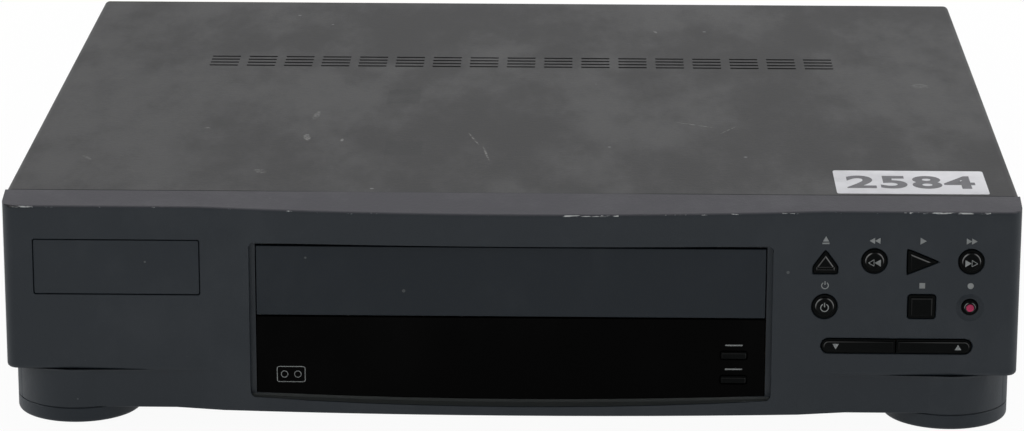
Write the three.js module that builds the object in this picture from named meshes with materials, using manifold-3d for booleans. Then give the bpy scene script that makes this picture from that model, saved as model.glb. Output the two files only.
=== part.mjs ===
// A front-loading cassette recorder: a folded steel cover over a plastic tray, a moulded front
// with eleven keys and a swinging flap, and the cassette lift, reel tables, head drum and tape
// loading gear on a deck plate inside.
// Millimetres. Z is up, the front faces -Y and X runs across. Places are worked out from the flat
// front face, the middle and the floor; the last lines centre the whole group on its footprint.

import * as THREE from "three";
import { mergeVertices } from "three/addons/utils/BufferGeometryUtils.js";
import Module from "manifold-3d";

// Overall size
const WIDTH = 380;
const HEIGHT = 88;
const DEPTH = 330;
const FOOT_HEIGHT = 6;
const SEAM_DEPTH = 13.3;
const STEP_HEIGHT = 21.6;

// Gaps shared by all pieces
const CLEAR = 0.3;
const RUNNING = 0.2;
const OVERRUN = 5;

// The cassette that the machine takes, and how it is let in
const TAPE = { width: 187, height: 25, depth: 103, hubSpacing: 93, hubDepth: 48 };
const SLOT = { floor: 43, spare: 0.4, sideRoom: 2.1, headRoom: 3.1, ledgeWidth: 2.1, ledgeRise: 1 };

// Fascia
const WALL = 2.5;
const ARRIS_DROP = 2.7;
const FASCIA_CORNER = 4.5;
const BOW = { half: 117, rise: 4.5, fade: 9, steps: 12 };
const PLINTH = { setBack: 2.5, sideBack: 1.1 };
const LIP = { depth: 6, thick: 2, endInset: 6 };
const OPENING = {
  half: TAPE.width / 2 + SLOT.sideRoom,
  top: SLOT.floor + TAPE.height + SLOT.headRoom,
  endFloor: 12.8,
  droop: 2,
  arcSteps: 10,
};
const LEDGE = {
  half: OPENING.half + SLOT.ledgeWidth,
  top: OPENING.top + SLOT.ledgeRise,
  depth: 1.2,
  corner: 2.2,
  below: 1.2,
  frame: 4,
};

// Feet
const FRONT_FOOT = { fromSide: 24.8, y: 24.5, radius: 23.7, bevel: 1.2 };
const REAR_FOOT = { fromSide: 30, fromBack: 30, radius: 15, bevel: 1.2 };

// Cover
const SHEET = 0.8;
const COVER_CORNER = 2.5;
const VENT = {
  groups: 17,
  pitch: 15.7,
  width: 11.9,
  fromBack: 120.5,
  slots: 4,
  slotPitch: 5.2,
  slotDepth: 3.4,
};
const LABEL = { fromSide: 39.5, y: 32, width: 56.4, depth: 32, thick: 0.25 };

// Tray and rear panel
const TRAY = {
  floor: 1.2,
  wall: 1.9,
  rise: 24,
  fromBack: 1,
  slots: 9,
  slotPitch: 12,
  slotWidth: 4,
  slotLength: 60,
};
const BOSS = { radius: 3, height: 2 };
const PANEL = {
  fromBack: 5.6,
  thick: 1.6,
  fromSide: 3.5,
  slots: 10,
  slotPitch: 7,
  slotWidth: 3,
  slotHeight: 26,
};
const PANEL_VENT = { x: -96, z: 42 };
const REAR_SCREW = { x: 96, fromTop: 10, head: 3.2, headHeight: 1.6, shank: 1.4, length: 9 };

// Flap, window and blanking plate
const FLAP = {
  sideGap: 0.4,
  lift: 0.6,
  topGap: 0.6,
  face: 0.4,
  thick: 2.4,
  axisBehind: 1.7,
  axisRise: 1.3,
};
const FLAP_HALF = OPENING.half - FLAP.sideGap;
const FLAP_AXIS_Y = WALL + FLAP.axisBehind;
const FLAP_AXIS_Z = OPENING.top + FLAP.axisRise;
const FLAP_PIN = { radius: 1.1, length: 2.2, ear: 1.4, earWidth: 1.4, earDrop: 3.4 };
const LUG = { width: 3, depth: 4.1, drop: 2.4 };
const WINDOW = { face: 0.3, thick: 2 };
const BLANK = {
  fromSide: 42.55,
  z: 61.85,
  width: 61.9,
  height: 20.9,
  corner: 0.6,
  thick: 1.1,
  recess: 1.2,
};

// Keys: across, up, and the size of each cap
const KEY = {
  proud: 0.8,
  flange: 1.2,
  flangeThick: 1,
  stem: 1.6,
  stemEnd: 8,
  corner: 0.9,
  roofBar: 2.6,
  arcSteps: 2,
};
const KEYS = [
  { name: "eject_button", kind: "up", fromSide: 72.8, z: 65.9, width: 9, height: 8.8 },
  { name: "rewind_button", kind: "round", fromSide: 54.6, z: 66.4, width: 9.2, height: 9.2 },
  { name: "play_button", kind: "right", fromSide: 36.6, z: 66.2, width: 11.3, height: 9.4 },
  { name: "forward_button", kind: "round", fromSide: 18.6, z: 66.4, width: 9.2, height: 9.2 },
  { name: "standby_button", kind: "round", fromSide: 72.8, z: 48.6, width: 9.2, height: 9.2 },
  { name: "stop_button", kind: "bar", fromSide: 36.6, z: 48.8, width: 10, height: 9 },
  { name: "record_button", kind: "round", fromSide: 18.6, z: 48.6, width: 5.9, height: 5.9 },
  {
    name: "channel_down_button",
    kind: "end",
    roundEnd: -1,
    fromSide: 59.8,
    z: 33.2,
    width: 27.6,
    height: 5.4,
  },
  {
    name: "channel_up_button",
    kind: "end",
    roundEnd: 1,
    fromSide: 31.6,
    z: 33.2,
    width: 28,
    height: 5.4,
  },
];
const WINDOW_KEYS = [
  { name: "tuning_button", kind: "bar", fromOpening: 11.9, z: 29, width: 9.7, height: 2.9 },
  { name: "memory_button", kind: "bar", fromOpening: 11.9, z: 19.4, width: 9.7, height: 2.9 },
];
const STEM_SHIFT_SHARE = 0.15;
const RECORD_DISH = { radius: 5.3, depth: 0.8 };

// Boards and modules
const BOARD = { thick: 1.6, fromSide: 8, front: 18, fromBack: 10 };
const FRONT_BOARD = {
  y: 10.4,
  thick: 1.6,
  left: -90,
  fromSide: 8,
  bottom: 12,
  step: 40,
  wing: 78,
  top: 76,
};
const SWITCH = { width: 4.4, height: 1.2, post: 2 };
const TUBE = { x: -15, width: 84, bottom: 15, top: 37, y: 5.2, depth: 5.2 };
const TRANSFORMER = {
  fromSide: 41,
  fromBack: 52,
  core: 46,
  coreDepth: 22,
  coil: 30,
  coilDepth: 40,
  height: 36,
};
const HEAT_SINK = {
  fromSide: 98,
  fromBack: 62,
  width: 40,
  base: 3,
  fin: 16,
  fins: 6,
  finThick: 2,
  height: 32,
};
const CAPACITOR = { fromSide: 40, fromBack: 110, radius: 7, pitch: 18, count: 3, height: 26 };
const TUNER = { fromSide: 47, width: 54, fromBack: 68, height: 25, socketGap: 26, socketRise: 13 };
const COAX = { radius: 4.8, bore: 3.7, boreDepth: 7 };
const SCART = { x: [2, 62], width: 52, height: 17, fromBack: 3, length: 15, key: 47, keyHeight: 12 };
const SCART_CUT = { chamfer: 4, groove: 1.2, depth: 8 };
const INLET = { fromSide: 41, z: 24, width: 26, height: 18, fromBack: 3, length: 21, flange: 3 };
const INLET_CUT = { lobe: 4.2, spacing: 8.6, depth: 12, pin: 1.2, pinShort: 2 };

// Deck plate and the cassette lift
const DECK = { bottom: 16, thick: 1.2, border: 7.2, front: 22, back: 236, postY: [30, 228] };
const DECK_POST = { radius: 3.5, clear: 0.5 };
const BRACKET = { thick: 1.2, front: 14, back: 176, rise: 5.6, foot: 5 };
const BRIDGE = { y: 164, depth: 10, thick: 1.2 };
const LIFT = {
  travel: 32,
  drop: 22,
  gap: 0.3,
  wall: 1.2,
  low: 36,
  rise: 4.6,
  barY: 60,
  barDepth: 12,
  barThick: 1.4,
};
const LIFT_PIN = { radius: 1.7, drop: 1.4, y: [46, 98] };
const HOLDER = { front: 35, back: 109, wall: 0.8, plate: 1, ledge: 8.2, stopDrop: 7.4, window: 46 };
const HOLDER_PIN = { radius: 1.7, drop: 9.4, y: [52, 90] };

// Drum
const DRUM = {
  y: 186,
  base: 27,
  tilt: 6,
  radius: 31,
  lower: 15,
  upper: 13,
  gap: 0.5,
  shaft: 4,
  recess: 2.4,
};
const DRUM_SEAT = { half: 20, front: 168, back: 204, gap: 0.3 };
const DRUM_RIM = { width: 4, hub: 9 };

// Reel tables, idler, capstan and pinch roller
const REEL = {
  base: 16,
  baseHeight: 3,
  hub: 11,
  hubTop: 24,
  spindle: 4.4,
  top: 34,
  spline: 1.4,
  splines: 3,
};
const STUD = { radius: 1.5, top: 30 };
const IDLER = { y: 100, arm: 26, wheel: 15.6, height: 2.6, pin: 1.5, boss: 4, pivot: 2, armThick: 1.2 };
const CAPSTAN = {
  x: 62,
  y: 137,
  shaft: 1.6,
  top: 44,
  wheel: 24,
  low: 11.5,
  high: 15.5,
  collar: 4,
  collarTop: 20.9,
};
const PINCH = {
  x: 88,
  y: 146,
  reach: 20.2,
  rest: 128.5,
  roller: 7,
  pin: 1.5,
  boss: 3.5,
  low: 19,
  thick: 2,
};
const PINCH_ROLLER = { low: 21.3, top: 37 };

// Tape loading gears and arms
const GEAR = { module: 1.75, armTeeth: 16, camTeeth: 32, pinionTeeth: 12, height: 2.4, backlash: 0.16 };
const TOOTH = { addendumShare: 0.85, rootShare: 1.2, flankSteps: 2 };
const PRESSURE_ANGLE = THREE.MathUtils.degToRad(20);
const ARM = { y: 150, reach: 40, rest: -60, width: 7, gap: 0.3, thick: 2, pivot: 2.5 };
const GUIDE = { disc: 4.6, post: 1.6, roller: 3.1, flange: 3.8, rollerLow: 24, rollerTop: 36.6, top: 37.6 };
const CAM_ANGLE = THREE.MathUtils.degToRad(190);
const PINION_ANGLE = THREE.MathUtils.degToRad(120);
const MOTOR = { radius: 15, low: 21, top: 46, leg: 3, legAt: 12.5, shaft: 1.5, bore: 6 };
const HEAD = { width: 10, depth: 8, top: 40, foot: 12, footThick: 2 };
const SOUND_HEAD = { x: 61.5, y: 171 };
const ERASE_HEAD = { fromMotorX: 20.6, fromMotorY: 5.95 };

// Steps round a full circle
const ROUND = { fine: 40, usual: 24, small: 12 };

// Steps along one curve of an outline
const CURVE = { usual: 6, fold: 4 };

const wasm = await Module();
wasm.setup();

// A closed geometry with its shared corners merged, as a solid that can be joined and cut.
function solid(geometry) {
  const bare = geometry.clone();
  bare.deleteAttribute("normal");
  bare.deleteAttribute("uv");
  const merged = mergeVertices(bare);
  return new wasm.Manifold(
    new wasm.Mesh({
      numProp: 3,
      vertProperties: new Float32Array(merged.attributes.position.array),
      triVerts: new Uint32Array(merged.index.array),
    }),
  );
}

// A solid as a named mesh.
function piece(name, made, material) {
  const cut = made.getMesh();
  const geometry = new THREE.BufferGeometry();
  geometry.setAttribute("position", new THREE.BufferAttribute(cut.vertProperties, cut.numProp));
  geometry.setIndex(new THREE.BufferAttribute(cut.triVerts, 1));
  geometry.computeVertexNormals();
  const mesh = new THREE.Mesh(geometry, material);
  mesh.name = name;
  return mesh;
}

// A box between two places on each axis.
function boxGeometry([left, right], [front, back], [low, high]) {
  const geometry = new THREE.BoxGeometry(right - left, back - front, high - low);
  return geometry.translate((left + right) / 2, (front + back) / 2, (low + high) / 2);
}

function block(wide, deep, high) {
  return solid(boxGeometry(wide, deep, high));
}

// An outline in X and Y, drawn upwards from one height to another.
function slab(shape, [low, high], curveSegments = CURVE.usual) {
  const geometry = new THREE.ExtrudeGeometry(
    shape,
    { depth: high - low, bevelEnabled: false, curveSegments },
  );
  return solid(geometry.translate(0, 0, low));
}

// An outline in X and Z, drawn backwards from one depth to another.
function frontal(shape, [front, back], curveSegments = CURVE.usual) {
  const geometry = new THREE.ExtrudeGeometry(
    shape,
    { depth: back - front, bevelEnabled: false, curveSegments },
  );
  return solid(geometry.rotateX(Math.PI / 2).translate(0, back, 0));
}

// An outline in Y and Z, drawn across from one place to another.
function lengthwise(shape, [left, right], curveSegments = CURVE.usual) {
  const geometry = new THREE.ExtrudeGeometry(
    shape,
    { depth: right - left, bevelEnabled: false, curveSegments },
  );
  return solid(geometry.rotateX(Math.PI / 2).rotateZ(Math.PI / 2).translate(left, 0, 0));
}

// Round bars: upright, running backwards, and running across.
function upright(radius, [x, y], [low, high], sides = ROUND.usual) {
  const geometry = new THREE.CylinderGeometry(radius, radius, high - low, sides);
  return solid(geometry.rotateX(Math.PI / 2).translate(x, y, (low + high) / 2));
}

function backward(radius, [x, z], [front, back], sides = ROUND.small) {
  const geometry = new THREE.CylinderGeometry(radius, radius, back - front, sides);
  return solid(geometry.translate(x, (front + back) / 2, z));
}

function across(radius, [y, z], [left, right], sides = ROUND.small) {
  const geometry = new THREE.CylinderGeometry(radius, radius, right - left, sides);
  return solid(geometry.rotateZ(Math.PI / 2).translate((left + right) / 2, y, z));
}

// Upright round steps on one centre: each step is its radius, its foot and its top.
function stepped(centre, steps, sides = ROUND.usual) {
  return joined(steps.map(([radius, low, high]) => upright(radius, centre, [low, high], sides)));
}

function joined(solids) {
  return solids.reduce((whole, next) => whole.add(next));
}

function cut(whole, tools) {
  return tools.reduce((rest, tool) => rest.subtract(tool), whole);
}

// Places counted in from the right side and from the back edge.
function sideAt({ fromSide }) {
  return WIDTH / 2 - fromSide;
}

function backAt({ fromBack }) {
  return DEPTH - fromBack;
}

function middle(centre, size) {
  return [centre - size / 2, centre + size / 2];
}

function bothSides(make) {
  return [make(-1), make(1)];
}

// The two ends of a span that may have been mirrored, the lower one first.
function span(a, b) {
  return a < b ? [a, b] : [b, a];
}

function roundedRectangle(width, height, radius, x = 0, y = 0) {
  const shape = new THREE.Shape();
  const [left, right] = middle(x, width);
  const [low, high] = middle(y, height);
  shape.absarc(right - radius, high - radius, radius, 0, Math.PI / 2, false);
  shape.absarc(left + radius, high - radius, radius, Math.PI / 2, Math.PI, false);
  shape.absarc(left + radius, low + radius, radius, Math.PI, Math.PI * 1.5, false);
  shape.absarc(right - radius, low + radius, radius, Math.PI * 1.5, Math.PI * 2, false);
  return shape;
}

// A circle as eight arcs, so that it has as fine a step as a rounded corner.
function circle(radius, x, y) {
  const shape = new THREE.Shape();
  const arcs = 8;
  for (let i = 0; i < arcs; i += 1) {
    shape.absarc(x, y, radius, (i * Math.PI * 2) / arcs, ((i + 1) * Math.PI * 2) / arcs, false);
  }
  return shape;
}

// A polygon whose corners are softened by a curve that starts one radius from each corner.
function softened(corners, radius) {
  const shape = new THREE.Shape();
  corners.forEach((corner, i) => {
    const before = corners.at(i - 1);
    const after = corners[(i + 1) % corners.length];
    const from = corner.clone().add(before.clone().sub(corner).setLength(radius));
    const to = corner.clone().add(after.clone().sub(corner).setLength(radius));
    if (i === 0) {
      shape.moveTo(from.x, from.y);
    } else {
      shape.lineTo(from.x, from.y);
    }
    shape.quadraticCurveTo(corner.x, corner.y, to.x, to.y);
  });
  shape.closePath();
  return shape;
}

// Materials

function paintedSteel() {
  return new THREE.MeshStandardMaterial({ color: 0x4b4b4c, roughness: 0.6, metalness: 0.2 });
}

function fasciaPlastic() {
  return new THREE.MeshStandardMaterial({ color: 0x2e3133, roughness: 0.55, metalness: 0 });
}

function flapPlastic() {
  return new THREE.MeshStandardMaterial({ color: 0x2a2d2f, roughness: 0.6, metalness: 0 });
}

function smokedPlastic() {
  return new THREE.MeshStandardMaterial({ color: 0x050505, roughness: 0.08, metalness: 0 });
}

function keyPlastic() {
  return new THREE.MeshStandardMaterial({ color: 0x121314, roughness: 0.3, metalness: 0 });
}

function footPlastic() {
  return new THREE.MeshStandardMaterial({ color: 0x222526, roughness: 0.6, metalness: 0 });
}

function footRubber() {
  return new THREE.MeshStandardMaterial({ color: 0x141414, roughness: 0.9, metalness: 0 });
}

function zincSteel() {
  return new THREE.MeshStandardMaterial({ color: 0x9a9c9a, roughness: 0.4, metalness: 0.9 });
}

function polishedSteel() {
  return new THREE.MeshStandardMaterial({ color: 0xc8cacc, roughness: 0.12, metalness: 1 });
}

function turnedAluminium() {
  return new THREE.MeshStandardMaterial({ color: 0xc2c4c6, roughness: 0.3, metalness: 1 });
}

function whitePlastic() {
  return new THREE.MeshStandardMaterial({ color: 0xe4e2da, roughness: 0.5, metalness: 0 });
}

function blackPlastic() {
  return new THREE.MeshStandardMaterial({ color: 0x17181a, roughness: 0.5, metalness: 0 });
}

function boardLaminate() {
  return new THREE.MeshStandardMaterial({ color: 0x8a6a3a, roughness: 0.6, metalness: 0 });
}

function rollerRubber() {
  return new THREE.MeshStandardMaterial({ color: 0x1c1c1c, roughness: 0.8, metalness: 0 });
}

function tubeGlass() {
  return new THREE.MeshStandardMaterial({ color: 0x7f9a92, roughness: 0.05, metalness: 0 });
}

function labelPaper() {
  return new THREE.MeshStandardMaterial({ color: 0xe6e6e2, roughness: 0.5, metalness: 0 });
}

// The depth of the bowed front at a place across: a shallow rise between two flat ends.
function bowAt(x) {
  return -BOW.rise * Math.max(0, 1 - (x / BOW.half) ** 2);
}

// The plan of the front, from its back left corner round to its back right corner. The lower
// band is set back at its ends and fades into the bow.
function facePlan({ half, corner, setBack, fade, inset, back }) {
  const shape = new THREE.Shape();
  const front = setBack + inset;
  shape.moveTo(-half + inset, back);
  shape.lineTo(-half + inset, front + corner);
  shape.absarc(-half + inset + corner, front + corner, corner, Math.PI, Math.PI * 1.5, false);
  shape.lineTo(-BOW.half - fade, front);
  const reach = BOW.half - fade;
  for (let i = 0; i <= BOW.steps; i += 1) {
    const x = -reach + (2 * reach * i) / BOW.steps;
    shape.lineTo(x, bowAt(x) + inset);
  }
  shape.lineTo(BOW.half + fade, front);
  shape.absarc(half - inset - corner, front + corner, corner, Math.PI * 1.5, Math.PI * 2, false);
  shape.lineTo(half - inset, back);
  shape.closePath();
  return shape;
}

// The opening that holds the flap and the window: straight sides and top, a drooping lower edge,
// and corners that are square where their radius is nothing.
function openingShape(half, top, floorDrop, corner) {
  const shape = new THREE.Shape();
  const floorAt = (x) => OPENING.endFloor - floorDrop - OPENING.droop * (1 - (x / OPENING.half) ** 2);
  const points = [];
  for (let i = 1; i < OPENING.arcSteps; i += 1) {
    const x = -OPENING.half + (2 * OPENING.half * i) / OPENING.arcSteps;
    points.push(new THREE.Vector2(x, floorAt(x)));
  }
  shape.setFromPoints(points);
  const low = floorAt(OPENING.half) + corner;
  const bends = [
    [half - corner, low],
    [half - corner, top - corner],
    [-half + corner, top - corner],
    [-half + corner, low],
  ];
  bends.forEach(([x, z], quarter) => {
    if (corner > 0) {
      const from = ((quarter - 1) * Math.PI) / 2;
      shape.absarc(x, z, corner, from, from + Math.PI / 2, false);
    } else {
      shape.lineTo(x, z);
    }
  });
  shape.closePath();
  return shape;
}

// The window's keys are placed from the opening's right side, and the others from the case's.
function keyAcross(key) {
  return key.fromOpening ? OPENING.half - key.fromOpening : sideAt(key);
}

// A key's outline, grown all round by a margin.
function keyShape(key, margin = 0) {
  const { kind, z, width, height } = key;
  const x = keyAcross(key);
  if (kind === "round") {
    return circle(width / 2 + margin, x, z);
  }
  if (kind === "bar") {
    const radius = Math.min(KEY.corner, height / 4) + margin;
    return roundedRectangle(width + 2 * margin, height + 2 * margin, radius, x, z);
  }
  if (kind === "end") {
    return endedBar(key, x, margin);
  }
  const outline = kind === "up" ? roofCorners(key) : arrowCorners(key);
  const place = new THREE.Vector2(x, z);
  return softened(grownOutline(outline, margin).map((corner) => corner.add(place)), KEY.corner);
}

// A bar whose outer end is half round and whose inner end is square.
function endedBar({ z, width, height, roundEnd }, x, margin) {
  const shape = new THREE.Shape();
  const radius = height / 2 + margin;
  const centre = x + roundEnd * (width / 2 + margin - radius);
  const inner = x - roundEnd * (width / 2 + margin);
  const arcs = 4;
  for (let i = 0; i < arcs; i += 1) {
    const from = (-roundEnd * Math.PI) / 2 + (i * Math.PI) / arcs;
    shape.absarc(centre, z, radius, from, from + Math.PI / arcs, false);
  }
  shape.lineTo(inner, z + roundEnd * radius);
  shape.lineTo(inner, z - roundEnd * radius);
  shape.closePath();
  return shape;
}

// A roof that stands on a low bar.
function roofCorners({ width, height }) {
  const eaves = KEY.roofBar - height / 2;
  return [
    new THREE.Vector2(-width / 2, -height / 2),
    new THREE.Vector2(width / 2, -height / 2),
    new THREE.Vector2(width / 2, eaves),
    new THREE.Vector2(0, height / 2),
    new THREE.Vector2(-width / 2, eaves),
  ];
}

// Three corners that point right.
function arrowCorners({ width, height }) {
  return [
    new THREE.Vector2(-width / 2, -height / 2),
    new THREE.Vector2(width / 2, 0),
    new THREE.Vector2(-width / 2, height / 2),
  ];
}

// Moves every edge of an outline out by a margin. The outline runs anticlockwise.
function grownOutline(corners, margin) {
  return corners.map((corner, i) => {
    const before = outwards(corners.at(i - 1), corner);
    const after = outwards(corner, corners[(i + 1) % corners.length]);
    const reach = margin / (1 + before.dot(after));
    return corner.clone().add(before.add(after).multiplyScalar(reach));
  });
}

// The direction out of an anticlockwise outline, across the edge between two corners.
function outwards(from, to) {
  const along = to.clone().sub(from).normalize();
  return new THREE.Vector2(along.y, -along.x);
}

// Where a key's stem stands: a little towards the broad side of a three-cornered key.
function stemPlace(key) {
  const { kind, z, width, height } = key;
  const x = keyAcross(key);
  const shift = Math.min(width, height) * STEM_SHIFT_SHARE;
  return [kind === "right" ? x - shift : x, kind === "up" ? z - shift : z];
}

function keyNamed(name) {
  return KEYS.find((key) => key.name === name);
}

function keyHole(key) {
  return frontal(keyShape(key, CLEAR), [-OVERRUN, WALL + OVERRUN], KEY.arcSteps);
}

// What lies beside the front feet's circles and ahead of their middles, where the case's lower
// corners follow the feet. The circles shrink by a margin.
function besideFeet(margin, [low, high]) {
  return bothSides((side) => {
    const place = [side * sideAt(FRONT_FOOT), FRONT_FOOT.y];
    const corner = block(
      span(place[0], side * (WIDTH / 2 + OVERRUN)),
      [-OVERRUN, FRONT_FOOT.y],
      [low - OVERRUN, high + OVERRUN],
    );
    const radius = FRONT_FOOT.radius - margin;
    return corner.subtract(
      upright(radius, place, [low - 2 * OVERRUN, high + 2 * OVERRUN], ROUND.fine),
    );
  });
}

function frontFascia() {
  const upper = { half: WIDTH / 2, corner: FASCIA_CORNER, setBack: 0, fade: 0, inset: 0, back: SEAM_DEPTH };
  const lower = {
    half: WIDTH / 2 - PLINTH.sideBack,
    corner: FASCIA_CORNER,
    setBack: PLINTH.setBack,
    fade: BOW.fade,
    inset: 0,
    back: SEAM_DEPTH,
  };
  const open = { inset: WALL, back: SEAM_DEPTH + OVERRUN };
  const hollowTop = HEIGHT - ARRIS_DROP - WALL;
  const footFronts = bothSides((side) => {
    const drum = upright(
      FRONT_FOOT.radius,
      [side * sideAt(FRONT_FOOT), FRONT_FOOT.y],
      [FOOT_HEIGHT, STEP_HEIGHT],
      ROUND.fine,
    );
    const behind = block(
      middle(side * sideAt(FRONT_FOOT), 2 * (FRONT_FOOT.radius + OVERRUN)),
      [SEAM_DEPTH, FRONT_FOOT.y + FRONT_FOOT.radius + OVERRUN],
      [FOOT_HEIGHT - OVERRUN, STEP_HEIGHT + OVERRUN],
    );
    return drum.subtract(behind);
  });
  const band = slab(facePlan(lower), [FOOT_HEIGHT, STEP_HEIGHT]);
  const body = joined([
    slab(facePlan(upper), [STEP_HEIGHT, HEIGHT]),
    cut(band, besideFeet(0, [FOOT_HEIGHT, STEP_HEIGHT])),
    ...footFronts,
  ]);
  const bandRoom = [FOOT_HEIGHT + WALL, STEP_HEIGHT + WALL + CLEAR];
  const hollow = cut(body, [
    slab(facePlan({ ...upper, ...open }), [STEP_HEIGHT + WALL, hollowTop]),
    cut(slab(facePlan({ ...lower, ...open }), bandRoom), besideFeet(WALL, bandRoom)),
  ]);
  const frameShape = openingShape(LEDGE.half + LEDGE.frame, LEDGE.top + LEDGE.frame, LEDGE.frame, 0);
  const frame = body.intersect(frontal(frameShape, [-OVERRUN - BOW.rise, WALL]));
  const shell = cut(hollow.add(frame), [
    topSlope(),
    frontal(
      openingShape(LEDGE.half, LEDGE.top, LEDGE.below, LEDGE.corner),
      [-OVERRUN - BOW.rise, LEDGE.depth],
    ),
    frontal(openingShape(OPENING.half, OPENING.top, 0, 0), [-OVERRUN - BOW.rise, WALL + CLEAR]),
    frontal(blankShape(CLEAR), [-OVERRUN, BLANK.recess]),
    backward(
      RECORD_DISH.radius,
      stemPlace(keyNamed("record_button")),
      [-OVERRUN, RECORD_DISH.depth],
      ROUND.usual,
    ),
    ...KEYS.map(keyHole),
  ]);
  const lip = block(
    [-WIDTH / 2 + LIP.endInset, WIDTH / 2 - LIP.endInset],
    [SEAM_DEPTH - LIP.thick, SEAM_DEPTH + LIP.depth],
    [HEIGHT - SHEET - CLEAR - LIP.thick, HEIGHT - SHEET - CLEAR],
  );
  return joined([shell, lip, ...hingeLugs(), ...boardPosts()]);
}

// The sloping top strip, from the seam down to the front arris.
function topSlope() {
  const fall = ARRIS_DROP / SEAM_DEPTH;
  const ahead = BOW.rise + OVERRUN;
  const wedge = new THREE.Shape();
  wedge.moveTo(SEAM_DEPTH, HEIGHT);
  wedge.lineTo(SEAM_DEPTH, HEIGHT + OVERRUN);
  wedge.lineTo(-ahead, HEIGHT + OVERRUN);
  wedge.lineTo(-ahead, HEIGHT - ARRIS_DROP - fall * ahead);
  wedge.closePath();
  return lengthwise(wedge, [-WIDTH / 2 - OVERRUN, WIDTH / 2 + OVERRUN]);
}

function hingeLugs() {
  return bothSides((side) => {
    const lug = block(
      span(side * OPENING.half, side * (OPENING.half + LUG.width)),
      [LEDGE.depth, WALL + LUG.depth],
      [FLAP_AXIS_Z - LUG.drop, FLAP_AXIS_Z + LUG.drop],
    );
    const bore = across(
      FLAP_PIN.radius + RUNNING,
      [FLAP_AXIS_Y, FLAP_AXIS_Z],
      span(side * (OPENING.half - OVERRUN), side * (FLAP_HALF + FLAP_PIN.length + CLEAR)),
    );
    return lug.subtract(bore);
  });
}

function boardPosts() {
  const inset = SWITCH.post * 2;
  const places = [
    [sideAt(FRONT_BOARD) - FRONT_BOARD.wing + inset, FRONT_BOARD.top - inset / 2],
    [sideAt(FRONT_BOARD) - inset / 2, FRONT_BOARD.top - inset / 2],
    [sideAt(FRONT_BOARD) - inset / 2, STEP_HEIGHT + inset],
    [sideAt(FRONT_BOARD) - FRONT_BOARD.wing + inset, STEP_HEIGHT + inset],
  ];
  return places.map(([x, z]) => backward(SWITCH.post, [x, z], [bowAt(x) + WALL / 2, FRONT_BOARD.y]));
}

function blankShape(margin = 0) {
  const wide = BLANK.width + 2 * margin;
  const high = BLANK.height + 2 * margin;
  return roundedRectangle(wide, high, BLANK.corner + margin, -sideAt(BLANK), BLANK.z);
}

function blankingPlate() {
  return frontal(blankShape(), [BLANK.recess - BLANK.thick, BLANK.recess]);
}

function cassetteFlap() {
  const back = FLAP.face + FLAP.thick;
  const plate = block(
    [-FLAP_HALF, FLAP_HALF],
    [FLAP.face, back],
    [SLOT.floor + FLAP.lift, OPENING.top - FLAP.topGap],
  );
  const ears = bothSides((side) => {
    const width = span(side * (FLAP_HALF - FLAP_PIN.earWidth), side * FLAP_HALF);
    const arm = block(
      width,
      middle(FLAP_AXIS_Y, 2 * FLAP_PIN.ear),
      [FLAP_AXIS_Z - FLAP_PIN.earDrop, FLAP_AXIS_Z],
    );
    const pin = span(side * (FLAP_HALF - FLAP_PIN.earWidth), side * (FLAP_HALF + FLAP_PIN.length));
    const root = block(
      width,
      [FLAP.face + FLAP.thick / 2, FLAP_AXIS_Y + FLAP_PIN.ear],
      [FLAP_AXIS_Z - FLAP_PIN.earDrop, OPENING.top - FLAP.topGap],
    );
    return joined([
      arm,
      root,
      across(FLAP_PIN.ear, [FLAP_AXIS_Y, FLAP_AXIS_Z], width),
      across(FLAP_PIN.radius, [FLAP_AXIS_Y, FLAP_AXIS_Z], pin),
    ]);
  });
  return joined([plate, ...ears]);
}

function displayWindow() {
  const outline = openingShape(OPENING.half - CLEAR, SLOT.floor, -CLEAR, 0);
  const pane = frontal(outline, [WINDOW.face, WINDOW.face + WINDOW.thick]);
  return cut(pane, WINDOW_KEYS.map(keyHole));
}

// A key: its cap in the front, a flange that keeps it in, and a stem towards its switch.
function button(key) {
  const behind = WINDOW_KEYS.includes(key) ? WINDOW.face + WINDOW.thick : WALL;
  const proud = WINDOW_KEYS.includes(key) ? KEY.proud - WINDOW.face : KEY.proud;
  const flange = [behind + CLEAR, behind + CLEAR + KEY.flangeThick];
  return joined([
    frontal(keyShape(key), [-proud, behind + KEY.flangeThick], KEY.arcSteps),
    frontal(flangeShape(key), flange, KEY.arcSteps),
    backward(KEY.stem, stemPlace(key), [behind, KEY.stemEnd]),
  ]);
}

// A flange holds its key in all round. The two channel keys lie side by side, so theirs only
// reach up and down.
function flangeShape(key) {
  if (key.roundEnd) {
    return roundedRectangle(key.width, key.height + 2 * KEY.flange, KEY.corner, keyAcross(key), key.z);
  }
  return keyShape(key, KEY.flange);
}

function topCover() {
  const outer = WIDTH / 2;
  const inner = outer - SHEET;
  const innerCorner = COVER_CORNER - SHEET;
  const shape = new THREE.Shape();
  shape.moveTo(-outer, STEP_HEIGHT);
  shape.lineTo(-inner, STEP_HEIGHT);
  shape.lineTo(-inner, HEIGHT - COVER_CORNER);
  shape.absarc(-outer + COVER_CORNER, HEIGHT - COVER_CORNER, innerCorner, Math.PI, Math.PI / 2, true);
  shape.absarc(outer - COVER_CORNER, HEIGHT - COVER_CORNER, innerCorner, Math.PI / 2, 0, true);
  shape.lineTo(inner, STEP_HEIGHT);
  shape.lineTo(outer, STEP_HEIGHT);
  shape.absarc(outer - COVER_CORNER, HEIGHT - COVER_CORNER, COVER_CORNER, 0, Math.PI / 2, false);
  shape.absarc(-outer + COVER_CORNER, HEIGHT - COVER_CORNER, COVER_CORNER, Math.PI / 2, Math.PI, false);
  shape.closePath();
  const labelStep = labelBlock(CLEAR, [HEIGHT - LABEL.thick, HEIGHT + OVERRUN]);
  return cut(frontal(shape, [SEAM_DEPTH, DEPTH], CURVE.fold), [...ventSlots(), labelStep]);
}

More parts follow.
